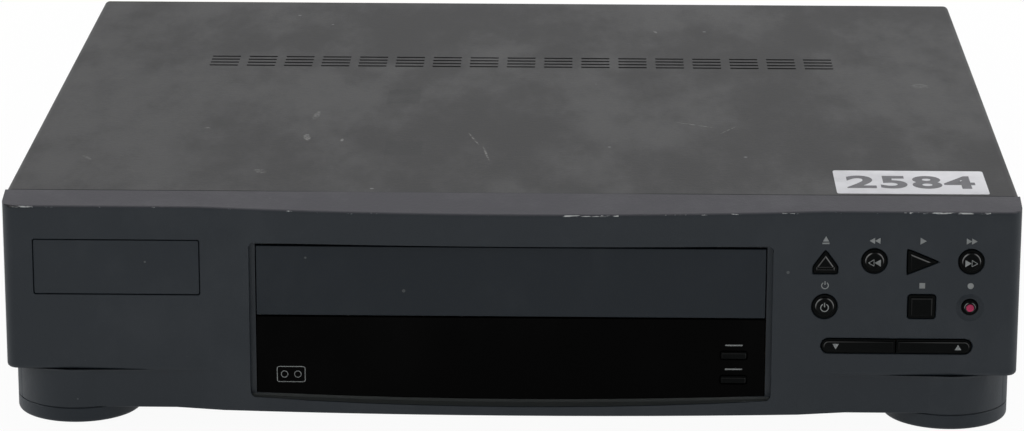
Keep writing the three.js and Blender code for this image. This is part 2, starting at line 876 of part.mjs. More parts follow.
function ventSlots() {
  const slots = [];
  for (let group = 0; group < VENT.groups; group += 1) {
    const x = (group - (VENT.groups - 1) / 2) * VENT.pitch;
    for (let row = 0; row < VENT.slots; row += 1) {
      const front = backAt(VENT) + row * VENT.slotPitch;
      const through = [HEIGHT - SHEET - OVERRUN, HEIGHT + OVERRUN];
      slots.push(block(middle(x, VENT.width), [front, front + VENT.slotDepth], through));
    }
  }
  return slots;
}

// The place of the paper label, grown all round by a margin.
function labelBlock(margin, up) {
  const wide = middle(sideAt(LABEL), LABEL.width + 2 * margin);
  return block(wide, middle(LABEL.y, LABEL.depth + 2 * margin), up);
}

// The label lies in a shallow step of the sheet, so that the top stays flat.
function numberLabel() {
  return labelBlock(0, [HEIGHT - LABEL.thick, HEIGHT]);
}

// Where the tray's bosses carry the main board.
function bossPlaces() {
  const inset = 2 * BOSS.radius;
  const xs = [-sideAt(BOARD) + inset, sideAt(BOARD) - inset];
  const ys = [BOARD.front + inset, (BOARD.front + backAt(BOARD)) / 2, backAt(BOARD) - inset];
  return xs.flatMap((x) => ys.map((y) => [x, y]));
}

function deckPostPlaces() {
  const x = BRACKET_INNER + BRACKET.thick;
  return [-x, x].flatMap((side) => DECK.postY.map((y) => [side, y]));
}

function boardHeight() {
  return FOOT_HEIGHT + TRAY.floor + BOSS.height;
}

// The tray's plan, whose front corners follow the front feet.
function trayPlan({ inset, front, back }) {
  const shape = new THREE.Shape();
  const x = sideAt(FRONT_FOOT);
  const radius = FRONT_FOOT.radius - inset;
  const turn = Math.asin((FRONT_FOOT.y - front) / radius);
  shape.absarc(-x, FRONT_FOOT.y, radius, Math.PI, Math.PI + turn, false);
  shape.absarc(x, FRONT_FOOT.y, radius, -turn, 0, false);
  shape.lineTo(x + radius, back);
  shape.lineTo(-x - radius, back);
  shape.closePath();
  return shape;
}

function baseTray() {
  const top = FOOT_HEIGHT + TRAY.floor;
  const rim = FOOT_HEIGHT + TRAY.rise;
  const outside = { inset: 0, front: SEAM_DEPTH, back: backAt(TRAY) };
  const inside = { inset: TRAY.wall, front: SEAM_DEPTH - OVERRUN, back: backAt(TRAY) + OVERRUN };
  const shell = slab(trayPlan(outside), [FOOT_HEIGHT, rim]).subtract(
    slab(trayPlan(inside), [top, rim + OVERRUN]),
  );
  const bosses = bossPlaces().map(
    (place) => upright(BOSS.radius, place, [FOOT_HEIGHT, boardHeight()], ROUND.small),
  );
  const posts = deckPostPlaces().map(
    (place) => upright(DECK_POST.radius, place, [FOOT_HEIGHT, DECK.bottom], ROUND.small),
  );
  const slots = [];
  for (let i = 0; i < TRAY.slots; i += 1) {
    const x = (i - (TRAY.slots - 1) / 2) * TRAY.slotPitch;
    const length = middle((BOARD.front + backAt(BOARD)) / 2, TRAY.slotLength);
    slots.push(block(middle(x, TRAY.slotWidth), length, [FOOT_HEIGHT - OVERRUN, top + OVERRUN]));
  }
  return cut(joined([shell, ...bosses, ...posts]), slots);
}

function foot({ radius, bevel }) {
  const profile = [
    new THREE.Vector2(0, 0),
    new THREE.Vector2(radius - bevel, 0),
    new THREE.Vector2(radius, bevel),
    new THREE.Vector2(radius, FOOT_HEIGHT),
    new THREE.Vector2(0, FOOT_HEIGHT),
  ];
  return solid(new THREE.LatheGeometry(profile, ROUND.fine).rotateX(Math.PI / 2));
}

function scartPlace(x) {
  return { across: middle(x, SCART.width), up: [boardTop(), boardTop() + SCART.height] };
}

function boardTop() {
  return boardHeight() + BOARD.thick;
}

function coaxPlaces() {
  const z = boardTop() + TUNER.socketRise;
  return middle(sideAt(TUNER), TUNER.socketGap).map((x) => [x, z]);
}

function rearPanel() {
  const low = FOOT_HEIGHT + TRAY.floor;
  const high = HEIGHT - SHEET - CLEAR;
  const through = [backAt(PANEL) - OVERRUN, backAt(PANEL) + PANEL.thick + OVERRUN];
  const panel = block(
    [-sideAt(PANEL), sideAt(PANEL)],
    [backAt(PANEL), backAt(PANEL) + PANEL.thick],
    [low, high],
  );
  const sockets = SCART.x.map((x) => {
    const place = scartPlace(x);
    const wide = [place.across[0] - CLEAR, place.across[1] + CLEAR];
    return block(wide, through, [place.up[0] - CLEAR, place.up[1] + CLEAR]);
  });
  const coax = coaxPlaces().map((place) => backward(COAX.radius + CLEAR, place, through));
  const inlet = block(
    middle(-sideAt(INLET), INLET.width + 2 * CLEAR),
    through,
    middle(INLET.z, INLET.height + 2 * CLEAR),
  );
  const screws = bothSides(
    (side) => backward(
      REAR_SCREW.shank + CLEAR,
      [side * REAR_SCREW.x, HEIGHT - REAR_SCREW.fromTop],
      through,
    ),
  );
  const vents = [];
  for (let i = 0; i < PANEL.slots; i += 1) {
    const x = PANEL_VENT.x + i * PANEL.slotPitch;
    vents.push(block(middle(x, PANEL.slotWidth), through, middle(PANEL_VENT.z, PANEL.slotHeight)));
  }
  return cut(panel, [...sockets, ...coax, inlet, ...screws, ...vents]);
}

function rearScrew(side) {
  const place = [side * REAR_SCREW.x, HEIGHT - REAR_SCREW.fromTop];
  const face = backAt(PANEL) + PANEL.thick;
  return joined([
    backward(REAR_SCREW.head, place, [face, face + REAR_SCREW.headHeight]),
    backward(REAR_SCREW.shank, place, [face - REAR_SCREW.length, face + REAR_SCREW.headHeight / 2]),
  ]);
}

function scartKey(x, z, inset) {
  const left = x - SCART.key / 2 + inset;
  const right = x + SCART.key / 2 - inset;
  const low = z - SCART.keyHeight / 2 + inset;
  const high = z + SCART.keyHeight / 2 - inset;
  const shape = new THREE.Shape();
  shape.moveTo(left, low);
  shape.lineTo(right, low);
  shape.lineTo(right, high - SCART_CUT.chamfer);
  shape.lineTo(right - SCART_CUT.chamfer, high);
  shape.lineTo(left, high);
  shape.closePath();
  return shape;
}

function scartSocket(x) {
  const place = scartPlace(x);
  const z = (place.up[0] + place.up[1]) / 2;
  const body = block(place.across, [backAt(SCART) - SCART.length, backAt(SCART)], place.up);
  const grooveDepth = [backAt(SCART) - SCART_CUT.depth, backAt(SCART) + OVERRUN];
  const outer = frontal(scartKey(x, z, 0), grooveDepth);
  const inner = frontal(
    scartKey(x, z, SCART_CUT.groove),
    [backAt(SCART) - SCART.length, backAt(SCART) + OVERRUN * 2],
  );
  return body.subtract(outer.subtract(inner));
}

function aerialModule() {
  const box = block(
    middle(sideAt(TUNER), TUNER.width),
    [backAt(TUNER), backAt(PANEL) - CLEAR],
    [boardTop(), boardTop() + TUNER.height],
  );
  const barrels = coaxPlaces().map(
    (place) => backward(COAX.radius, place, [backAt(TUNER) + OVERRUN, DEPTH]),
  );
  const bores = coaxPlaces().map(
    (place) => backward(COAX.bore, place, [DEPTH - COAX.boreDepth, DEPTH + OVERRUN]),
  );
  return cut(joined([box, ...barrels]), bores);
}

function mainsInlet() {
  const body = block(
    middle(-sideAt(INLET), INLET.width),
    [backAt(INLET) - INLET.length, backAt(INLET)],
    middle(INLET.z, INLET.height),
  );
  const flange = block(
    middle(-sideAt(INLET), INLET.width + 2 * INLET.flange),
    [backAt(PANEL) - CLEAR - PANEL.thick, backAt(PANEL) - CLEAR],
    middle(INLET.z, INLET.height + 2 * INLET.flange),
  );
  const deep = [backAt(INLET) - INLET_CUT.depth, backAt(INLET) + OVERRUN];
  const lobes = middle(-sideAt(INLET), INLET_CUT.spacing);
  const hollow = [
    ...lobes.map((x) => backward(INLET_CUT.lobe, [x, INLET.z], deep, ROUND.usual)),
    block(lobes, deep, middle(INLET.z, 2 * INLET_CUT.lobe)),
  ];
  const pins = lobes.map(
    (x) => backward(
      INLET_CUT.pin,
      [x, INLET.z],
      [backAt(INLET) - INLET.length + OVERRUN, backAt(INLET) - INLET_CUT.pinShort],
    ),
  );
  return joined([cut(body.add(flange), hollow), ...pins]);
}

function mainBoard() {
  const plate = block(
    [-sideAt(BOARD), sideAt(BOARD)],
    [BOARD.front, backAt(BOARD)],
    [boardHeight(), boardTop()],
  );
  const holes = deckPostPlaces().map((place) =>
    upright(
      DECK_POST.radius + DECK_POST.clear,
      place,
      [boardHeight() - OVERRUN, boardTop() + OVERRUN],
      ROUND.small,
    ),
  );
  const cans = [];
  for (let i = 0; i < CAPACITOR.count; i += 1) {
    const place = [-sideAt(CAPACITOR), backAt(CAPACITOR) - i * CAPACITOR.pitch];
    cans.push(
      upright(CAPACITOR.radius, place, [boardHeight(), boardTop() + CAPACITOR.height], ROUND.small),
    );
  }
  return cut(joined([plate, ...cans]), holes);
}

function frontBoard() {
  const depth = [FRONT_BOARD.y, FRONT_BOARD.y + FRONT_BOARD.thick];
  const strip = block(
    [FRONT_BOARD.left, sideAt(FRONT_FOOT)],
    depth,
    [FRONT_BOARD.bottom, FRONT_BOARD.step],
  );
  const wing = block(
    [sideAt(FRONT_BOARD) - FRONT_BOARD.wing, sideAt(FRONT_BOARD)],
    depth,
    [STEP_HEIGHT + WALL + CLEAR, FRONT_BOARD.top],
  );
  const switches = [...KEYS, ...WINDOW_KEYS].map((key) => {
    const [x, z] = stemPlace(key);
    return block(
      middle(x, SWITCH.width),
      [FRONT_BOARD.y - SWITCH.height, FRONT_BOARD.y + CLEAR],
      middle(z, SWITCH.width),
    );
  });
  return joined([strip, wing, ...switches]);
}

function displayTube() {
  return block(middle(TUBE.x, TUBE.width), [TUBE.y, TUBE.y + TUBE.depth], [TUBE.bottom, TUBE.top]);
}

function powerTransformer() {
  const high = [boardTop(), boardTop() + TRANSFORMER.height];
  const core = block(
    middle(-sideAt(TRANSFORMER), TRANSFORMER.core),
    middle(backAt(TRANSFORMER), TRANSFORMER.coreDepth),
    high,
  );
  const coilHigh = [high[0], high[1] - OVERRUN];
  const coil = block(
    middle(-sideAt(TRANSFORMER), TRANSFORMER.coil),
    middle(backAt(TRANSFORMER), TRANSFORMER.coilDepth),
    coilHigh,
  );
  return core.add(coil);
}

function heatSink() {
  const high = [boardTop(), boardTop() + HEAT_SINK.height];
  const plate = block(
    middle(-sideAt(HEAT_SINK), HEAT_SINK.width),
    [backAt(HEAT_SINK), backAt(HEAT_SINK) + HEAT_SINK.base],
    high,
  );
  const fins = [];
  const pitch = (HEAT_SINK.width - HEAT_SINK.finThick) / (HEAT_SINK.fins - 1);
  for (let i = 0; i < HEAT_SINK.fins; i += 1) {
    const left = -sideAt(HEAT_SINK) - HEAT_SINK.width / 2 + i * pitch;
    fins.push(
      block(
        [left, left + HEAT_SINK.finThick],
        [backAt(HEAT_SINK), backAt(HEAT_SINK) + HEAT_SINK.fin],
        high,
      ),
    );
  }
  return joined([plate, ...fins]);
}

// The cassette holder fits the tape, the lift fits the holder, and the brackets fit the lift.
const HOLDER_INNER = TAPE.width / 2 + 2 * SLOT.spare;
const HOLDER_OUTER = HOLDER_INNER + HOLDER.wall;
const HOLDER_TOP = SLOT.floor + TAPE.height + SLOT.spare + HOLDER.plate;
const LIFT_TOP = HOLDER_TOP + LIFT.rise;
const BRACKET_TOP = HOLDER_TOP + BRACKET.rise;
const LIFT_OUTER = HOLDER_OUTER + LIFT.gap + LIFT.wall;
const BRACKET_INNER = LIFT_OUTER + RUNNING;
const DECK_HALF = BRACKET_INNER + DECK.border;

const DECK_TOP = DECK.bottom + DECK.thick;
const GEAR_LOW = DECK_TOP + CLEAR;
const GEAR_TOP = GEAR_LOW + GEAR.height;
const REEL_Y = HOLDER.back - HOLDER.plate + LIFT.travel - TAPE.depth + TAPE.hubDepth;
const GEAR_RADIUS = {
  arm: (GEAR.module * GEAR.armTeeth) / 2,
  cam: (GEAR.module * GEAR.camTeeth) / 2,
  pinion: (GEAR.module * GEAR.pinionTeeth) / 2,
};
const LEFT_PIVOT = new THREE.Vector2(-GEAR_RADIUS.arm, ARM.y);
const RIGHT_PIVOT = new THREE.Vector2(GEAR_RADIUS.arm, ARM.y);
const CAM_CENTRE = beside(LEFT_PIVOT, GEAR_RADIUS.arm + GEAR_RADIUS.cam, CAM_ANGLE);
const PINION_CENTRE = beside(CAM_CENTRE, GEAR_RADIUS.cam + GEAR_RADIUS.pinion, PINION_ANGLE);

// The point at a distance and an angle from another.
function beside(from, distance, angle) {
  return new THREE.Vector2(from.x + distance * Math.cos(angle), from.y + distance * Math.sin(angle));
}

function deckPlate() {
  const plate = block([-DECK_HALF, DECK_HALF], [DECK.front, DECK.back], [DECK.bottom, DECK_TOP]);
  const stud = (radius, place, top) => upright(radius, place, [DECK.bottom, top], ROUND.small);
  const studs = [
    ...bothSides((side) => stud(STUD.radius, [(side * TAPE.hubSpacing) / 2, REEL_Y], STUD.top)),
    stud(IDLER.pivot, [0, IDLER.y], REEL.hubTop),
    stud(ARM.pivot, LEFT_PIVOT.toArray(), GEAR_TOP + ARM.gap + ARM.thick),
    stud(ARM.pivot, RIGHT_PIVOT.toArray(), GEAR_TOP + ARM.gap + ARM.thick),
    stud(ARM.pivot, CAM_CENTRE.toArray(), GEAR_TOP),
    stud(PINCH.boss / 2, [PINCH.x, PINCH.y], PINCH_ROLLER.low + PINCH.thick),
    stud(CAPSTAN.collar, [CAPSTAN.x, CAPSTAN.y], CAPSTAN.collarTop),
  ];
  const bore = upright(
    CAPSTAN.shaft + RUNNING,
    [CAPSTAN.x, CAPSTAN.y],
    [DECK.bottom - OVERRUN, CAPSTAN.collarTop + OVERRUN],
    ROUND.small,
  );
  return joined([plate, ...studs]).subtract(bore);
}

// A side wall of the lift, with the long slot that the lift's pins run along.
function liftBracket(side) {
  const wall = span(side * BRACKET_INNER, side * (BRACKET_INNER + BRACKET.thick));
  const footSpan = span(side * BRACKET_INNER, side * (BRACKET_INNER + BRACKET.foot));
  const plate = block(wall, [BRACKET.front, BRACKET.back], [DECK_TOP, BRACKET_TOP]);
  const foot = block(footSpan, [DECK.front, BRACKET.back], [DECK_TOP, DECK_TOP + BRACKET.thick]);
  const pinRoom = LIFT_PIN.radius + CLEAR;
  const slot = block(
    span(side * (BRACKET_INNER - OVERRUN), side * (BRACKET_INNER + OVERRUN)),
    [LIFT_PIN.y[0] - pinRoom, LIFT_PIN.y[1] + LIFT.travel + pinRoom],
    middle(HOLDER_TOP - LIFT_PIN.drop, 2 * pinRoom),
  );
  return plate.add(foot).subtract(slot);
}

function liftBridge() {
  const half = BRACKET_INNER + BRACKET.thick;
  return block(
    [-half, half],
    [BRIDGE.y, BRIDGE.y + BRIDGE.depth],
    [BRACKET_TOP, BRACKET_TOP + BRIDGE.thick],
  );
}

// The lift: two cheeks joined by a bar. Its pins run in the brackets, and the holder hangs in its slots.
function liftCarriage() {
  const inner = HOLDER_OUTER + LIFT.gap;
  const outer = inner + LIFT.wall;
  const cheeks = bothSides((side) => {
    const plate = block(
      span(side * inner, side * outer),
      [LIFT_PIN.y[0] - OVERRUN, LIFT_PIN.y[1] + OVERRUN],
      [LIFT.low, LIFT_TOP],
    );
    const pinRoom = HOLDER_PIN.radius + CLEAR;
    const slots = HOLDER_PIN.y.map((y) =>
      block(
        span(side * (inner - OVERRUN / 2), side * (outer + OVERRUN / 2)),
        middle(y, 2 * pinRoom),
        [HOLDER_TOP - HOLDER_PIN.drop - LIFT.drop - pinRoom, HOLDER_TOP - HOLDER_PIN.drop + pinRoom],
      ),
    );
    const reach = span(side * inner, side * (BRACKET_INNER + BRACKET.thick));
    const pins = LIFT_PIN.y.map((y) => across(LIFT_PIN.radius, [y, HOLDER_TOP - LIFT_PIN.drop], reach));
    return joined([cut(plate, slots), ...pins]);
  });
  const bar = block(
    [-outer, outer],
    middle(LIFT.barY, LIFT.barDepth),
    [LIFT_TOP - LIFT.barThick, LIFT_TOP],
  );
  return joined([...cheeks, bar]);
}

function cassetteHolder() {
  const depth = [HOLDER.front, HOLDER.back];
  const low = SLOT.floor - HOLDER.plate;
  const top = block([-HOLDER_OUTER, HOLDER_OUTER], depth, [HOLDER_TOP - HOLDER.plate, HOLDER_TOP]);
  const sides = bothSides((side) => {
    const wall = block(span(side * HOLDER_INNER, side * HOLDER_OUTER), depth, [low, HOLDER_TOP]);
    const ledge = block(
      span(side * (HOLDER_OUTER - HOLDER.ledge), side * HOLDER_OUTER),
      depth,
      [low, SLOT.floor],
    );
    const reach = span(side * HOLDER_INNER, side * (HOLDER_OUTER + LIFT.gap + LIFT.wall));
    const pins = HOLDER_PIN.y.map(
      (y) => across(HOLDER_PIN.radius, [y, HOLDER_TOP - HOLDER_PIN.drop], reach),
    );
    return joined([wall, ledge, ...pins]);
  });
  const stop = block(
    [-HOLDER_OUTER, HOLDER_OUTER],
    [HOLDER.back - HOLDER.plate, HOLDER.back],
    [HOLDER_TOP - HOLDER.stopDrop, HOLDER_TOP],
  );
  const windowSpan = middle((HOLDER.front + HOLDER.back) / 2, HOLDER.window);
  const openTop = block(
    [-HOLDER.window, HOLDER.window],
    windowSpan,
    [HOLDER_TOP - HOLDER.stopDrop, HOLDER_TOP + OVERRUN],
  );
  return joined([top, ...sides, stop]).subtract(openTop);
}

// A group that stands on the deck and leans back, for the drum's own pieces.
function leaning(...meshes) {
  const group = new THREE.Group();
  group.position.set(0, DRUM.y, DRUM.base);
  group.rotation.x = -THREE.MathUtils.degToRad(DRUM.tilt);
  group.add(...meshes);
  return group;
}

// The drum's seat: a block on the deck whose top is cut to the drum's lean.
function drumBase() {
  const pillar = block(
    [-DRUM_SEAT.half, DRUM_SEAT.half],
    [DRUM_SEAT.front, DRUM_SEAT.back],
    [DECK_TOP, DRUM.base + OVERRUN],
  );
  const wide = DRUM.radius * 2;
  const above = boxGeometry([-wide, wide], [-wide, wide], [-DRUM_SEAT.gap, wide]);
  above.rotateX(-THREE.MathUtils.degToRad(DRUM.tilt)).translate(0, DRUM.y, DRUM.base);
  return pillar.subtract(solid(above));
}

function lowerDrum() {
  const body = upright(DRUM.radius, [0, 0], [0, DRUM.lower], ROUND.fine);
  return body.subtract(upright(DRUM.shaft + CLEAR, [0, 0], [DRUM.gap, DRUM.lower + OVERRUN]));
}

function upperDrum() {
  const low = DRUM.lower + DRUM.gap;
  const high = low + DRUM.upper;
  const well = upright(DRUM.radius - DRUM_RIM.width, [0, 0], [high - DRUM.recess, high + OVERRUN]);
  const hub = upright(DRUM_RIM.hub, [0, 0], [high - DRUM.recess - CLEAR, high]);
  const shaft = upright(DRUM.shaft, [0, 0], [2 * DRUM.gap, low + DRUM.gap]);
  const rim = upright(DRUM.radius, [0, 0], [low, high], ROUND.fine);
  return joined([rim.subtract(well), hub, shaft]);
}

function reelTable() {
  const body = stepped([0, 0], [
    [REEL.base, GEAR_LOW, GEAR_LOW + REEL.baseHeight],
    [REEL.hub, GEAR_LOW, REEL.hubTop],
    [REEL.spindle, GEAR_LOW, REEL.top],
  ]);
  const splines = [];
  for (let i = 0; i < REEL.splines; i += 1) {
    const key = boxGeometry(
      [0, REEL.spindle + REEL.spline],
      middle(0, REEL.spline),
      [GEAR_LOW, REEL.top - REEL.spline],
    );
    splines.push(solid(key.rotateZ((i * Math.PI * 2) / REEL.splines)));
  }
  const bore = upright(
    STUD.radius + RUNNING,
    [0, 0],
    [DECK_TOP - OVERRUN, STUD.top + RUNNING],
    ROUND.small,
  );
  return joined([body, ...splines]).subtract(bore);
}

// The idler arm hangs forward from its pivot, and its wheel turns on a pin below its end.
function idlerArm() {
  const low = GEAR_LOW + IDLER.height + CLEAR;
  const high = low + IDLER.armThick;
  const bar = block(middle(0, IDLER.boss * 2), [-IDLER.arm, 0], [low, high]);
  const ends = [0, -IDLER.arm].map((y) => upright(IDLER.boss, [0, y], [low, high]));
  const pin = upright(IDLER.pin, [0, -IDLER.arm], [GEAR_LOW, high], ROUND.small);
  const bore = upright(IDLER.pivot + RUNNING, [0, 0], [low - OVERRUN, high + OVERRUN], ROUND.small);
  return joined([bar, ...ends, pin]).subtract(bore);
}

function idlerWheel() {
  const wheel = upright(IDLER.wheel, [0, 0], [GEAR_LOW, GEAR_LOW + IDLER.height], ROUND.usual);
  return wheel.subtract(
    upright(IDLER.pin + RUNNING, [0, 0], [GEAR_LOW - OVERRUN, GEAR_TOP + OVERRUN], ROUND.small),
  );
}

function capstan() {
  return stepped([0, 0], [
    [CAPSTAN.wheel, CAPSTAN.low, CAPSTAN.high],
    [CAPSTAN.shaft, CAPSTAN.low, CAPSTAN.top],
  ]);
}

// The pinch arm, drawn along +X from its pivot; the group that holds it gives its angle.
function pinchArm() {
  const high = PINCH.low + PINCH.thick;
  const bar = block([0, PINCH.reach], middle(0, PINCH.boss), [PINCH.low, high]);
  const boss = upright(PINCH.boss, [0, 0], [DECK_TOP + CLEAR, high]);
  const end = upright(PINCH.boss, [PINCH.reach, 0], [PINCH.low, high]);
  const pin = upright(PINCH.pin, [PINCH.reach, 0], [PINCH.low, PINCH_ROLLER.top + CLEAR], ROUND.small);
  const bore = upright(PINCH.boss / 2 + RUNNING, [0, 0], [DECK_TOP - OVERRUN, high + OVERRUN], ROUND.small);
  return joined([bar, boss, end, pin]).subtract(bore);
}

function pinchRoller() {
  const wheel = upright(PINCH.roller, [0, 0], [PINCH_ROLLER.low, PINCH_ROLLER.top]);
  const bore = upright(
    PINCH.pin + RUNNING,
    [0, 0],
    [PINCH_ROLLER.low - OVERRUN, PINCH_ROLLER.top + OVERRUN],
    ROUND.small,
  );
  return wheel.subtract(bore);
}

// The angle between a tooth's middle and its flank at a radius: an involute of the base circle.
function flankAngle(pitchRadius, radius) {
  const base = pitchRadius * Math.cos(PRESSURE_ANGLE);
  const involute = (angle) => Math.tan(angle) - angle;
  const thickness = (Math.PI * GEAR.module) / 2 - GEAR.backlash;
  const here = Math.acos(Math.min(1, base / radius));
  return thickness / (2 * pitchRadius) + involute(PRESSURE_ANGLE) - involute(here);
}

// A spur gear's outline with one tooth's middle at the angle phase.
function gearShape(teeth, phase) {
  const pitchRadius = (GEAR.module * teeth) / 2;
  const root = pitchRadius - TOOTH.rootShare * GEAR.module;
  const tip = pitchRadius + TOOTH.addendumShare * GEAR.module;
  const base = Math.max(root, pitchRadius * Math.cos(PRESSURE_ANGLE));
  const flank = [[root, flankAngle(pitchRadius, base)]];
  for (let i = 0; i < TOOTH.flankSteps; i += 1) {
    const radius = base + ((tip - base) * i) / (TOOTH.flankSteps - 1);
    flank.push([radius, flankAngle(pitchRadius, radius)]);
  }
  const points = [];
  for (let tooth = 0; tooth < teeth; tooth += 1) {
    const centre = phase + (tooth * Math.PI * 2) / teeth;
    flank.forEach(([radius, angle]) => points.push([radius, centre - angle]));
    flank.toReversed().forEach(([radius, angle]) => points.push([radius, centre + angle]));
  }
  const corners = points.map(
    ([radius, angle]) => new THREE.Vector2(radius * Math.cos(angle), radius * Math.sin(angle)),
  );
  return new THREE.Shape(corners);
}

// The phase that puts a gear in mesh with a neighbour that lies at an angle from it.
function meshingPhase(neighbourPhase, neighbourTeeth, teeth, angleToHere) {
  const past = angleToHere - neighbourPhase;
  return angleToHere + Math.PI + (past * neighbourTeeth) / teeth + Math.PI / teeth;
}

const LEFT_PHASE = 0;
const RIGHT_PHASE = meshingPhase(LEFT_PHASE, GEAR.armTeeth, GEAR.armTeeth, 0);
const CAM_PHASE = meshingPhase(LEFT_PHASE, GEAR.armTeeth, GEAR.camTeeth, CAM_ANGLE);
const PINION_PHASE = meshingPhase(CAM_PHASE, GEAR.camTeeth, GEAR.pinionTeeth, PINION_ANGLE);

function gear(teeth, phase, bore) {
  const wheel = slab(gearShape(teeth, phase), [GEAR_LOW, GEAR_TOP]);
  return wheel.subtract(upright(bore, [0, 0], [GEAR_LOW - OVERRUN, GEAR_TOP + OVERRUN], ROUND.small));
}

// A loading arm: its gear, the arm above it and the tape guide that it carries to the drum.
function loadingArm(side, phase) {
  const low = GEAR_TOP + ARM.gap;
  const high = low + ARM.thick;
  const rest = THREE.MathUtils.degToRad(side > 0 ? ARM.rest : -180 - ARM.rest);
  const end = beside(new THREE.Vector2(), ARM.reach, rest);
  const bar = boxGeometry([0, ARM.reach], middle(0, ARM.width), [low, high]);
  const arm = solid(bar.rotateZ(rest));
  const hub = upright(GEAR_RADIUS.arm / 2, [0, 0], [GEAR_LOW + ARM.gap, high], ROUND.usual);
  const guide = stepped(end.toArray(), [
    [GUIDE.disc, low, high],
    [GUIDE.post, low, GUIDE.top],
    [GUIDE.roller, GUIDE.rollerLow, GUIDE.rollerTop],
    [GUIDE.flange, GUIDE.rollerTop, GUIDE.top],
  ], ROUND.small);
  const bore = upright(ARM.pivot + RUNNING, [0, 0], [GEAR_LOW - OVERRUN, high + OVERRUN], ROUND.small);
  return joined([gear(GEAR.armTeeth, phase, ARM.pivot + RUNNING), hub, arm, guide]).subtract(bore);
}

function camGear() {
  return gear(GEAR.camTeeth, CAM_PHASE, ARM.pivot + RUNNING);
}

function motorPinion() {
  const wheel = slab(gearShape(GEAR.pinionTeeth, PINION_PHASE), [GEAR_LOW, GEAR_TOP]);
  return wheel.add(upright(MOTOR.shaft, [0, 0], [GEAR_LOW, MOTOR.low + MOTOR.bore - RUNNING], ROUND.small));
}

function loadingMotor() {
  const can = upright(MOTOR.radius, [0, 0], [MOTOR.low, MOTOR.top]);
  const toCam = PINION_ANGLE + Math.PI;
  const quarter = Math.PI / 2;
  const legs = [quarter, 2 * quarter, 3 * quarter].map((turn) => {
    const leg = boxGeometry(
      [MOTOR.legAt, MOTOR.legAt + MOTOR.leg / 2],
      middle(0, MOTOR.leg),
      [DECK_TOP, MOTOR.low + OVERRUN],
    );
    return solid(leg.rotateZ(toCam + turn));
  });
  const bore = upright(
    MOTOR.shaft + RUNNING,
    [0, 0],
    [MOTOR.low - OVERRUN, MOTOR.low + MOTOR.bore],
    ROUND.small,
  );
  return joined([can, ...legs]).subtract(bore);
}

function tapeHead() {
  const foot = block(middle(0, HEAD.foot), middle(0, HEAD.depth), [DECK_TOP, DECK_TOP + HEAD.footThick]);
  const body = block(middle(0, HEAD.width), middle(0, HEAD.depth), [DECK_TOP, HEAD.top]);
  return foot.add(body);
}

// A mesh built round its own axis and stood at a place in plan.
function stoodAt(mesh, [x, y]) {
  mesh.position.set(x, y, 0);
  return mesh;
}

function caseParts() {
  const steel = paintedSteel();
  const plastic = fasciaPlastic();
  const feet = footPlastic();
  const pads = footRubber();
  const zinc = zincSteel();
  return [
    piece("top_cover", topCover(), steel),
    piece("front_fascia", frontFascia(), plastic),
    piece("base_tray", baseTray(), plastic),
    piece("rear_panel", rearPanel(), blackPlastic()),
    piece("cassette_flap", cassetteFlap(), flapPlastic()),
    piece("display_window", displayWindow(), smokedPlastic()),
    piece("blanking_plate", blankingPlate(), plastic),
    piece("number_label", numberLabel(), labelPaper()),
    piece("rear_screw_left", rearScrew(-1), zinc),
    piece("rear_screw_right", rearScrew(1), zinc),
    stoodAt(piece("foot_front_left", foot(FRONT_FOOT), feet), [-sideAt(FRONT_FOOT), FRONT_FOOT.y]),
    stoodAt(piece("foot_front_right", foot(FRONT_FOOT), feet), [sideAt(FRONT_FOOT), FRONT_FOOT.y]),
    stoodAt(piece("foot_rear_left", foot(REAR_FOOT), pads), [-sideAt(REAR_FOOT), backAt(REAR_FOOT)]),
    stoodAt(piece("foot_rear_right", foot(REAR_FOOT), pads), [sideAt(REAR_FOOT), backAt(REAR_FOOT)]),
  ];
}

function keyParts() {
  const gloss = keyPlastic();
  return [...KEYS, ...WINDOW_KEYS].map((key) => piece(key.name, button(key), gloss));
}

function boardParts() {
  const laminate = boardLaminate();
  const socket = blackPlastic();
  return [
    piece("main_board", mainBoard(), laminate),
    piece("front_board", frontBoard(), laminate),
    piece("display_tube", displayTube(), tubeGlass()),
    piece("power_transformer", powerTransformer(), zincSteel()),
    piece("heat_sink", heatSink(), turnedAluminium()),
    piece("aerial_module", aerialModule(), zincSteel()),
    piece("mains_inlet", mainsInlet(), socket),
    piece("scart_socket_left", scartSocket(SCART.x[0]), socket),
    piece("scart_socket_right", scartSocket(SCART.x[1]), socket),
  ];
}

function liftParts() {
  const zinc = zincSteel();
  return [
    piece("deck_plate", deckPlate(), zinc),
    piece("lift_bracket_left", liftBracket(-1), zinc),
    piece("lift_bracket_right", liftBracket(1), zinc),
    piece("lift_bridge", liftBridge(), zinc),
    piece("lift_carriage", liftCarriage(), zinc),
    piece("cassette_holder", cassetteHolder(), zinc),
  ];
}

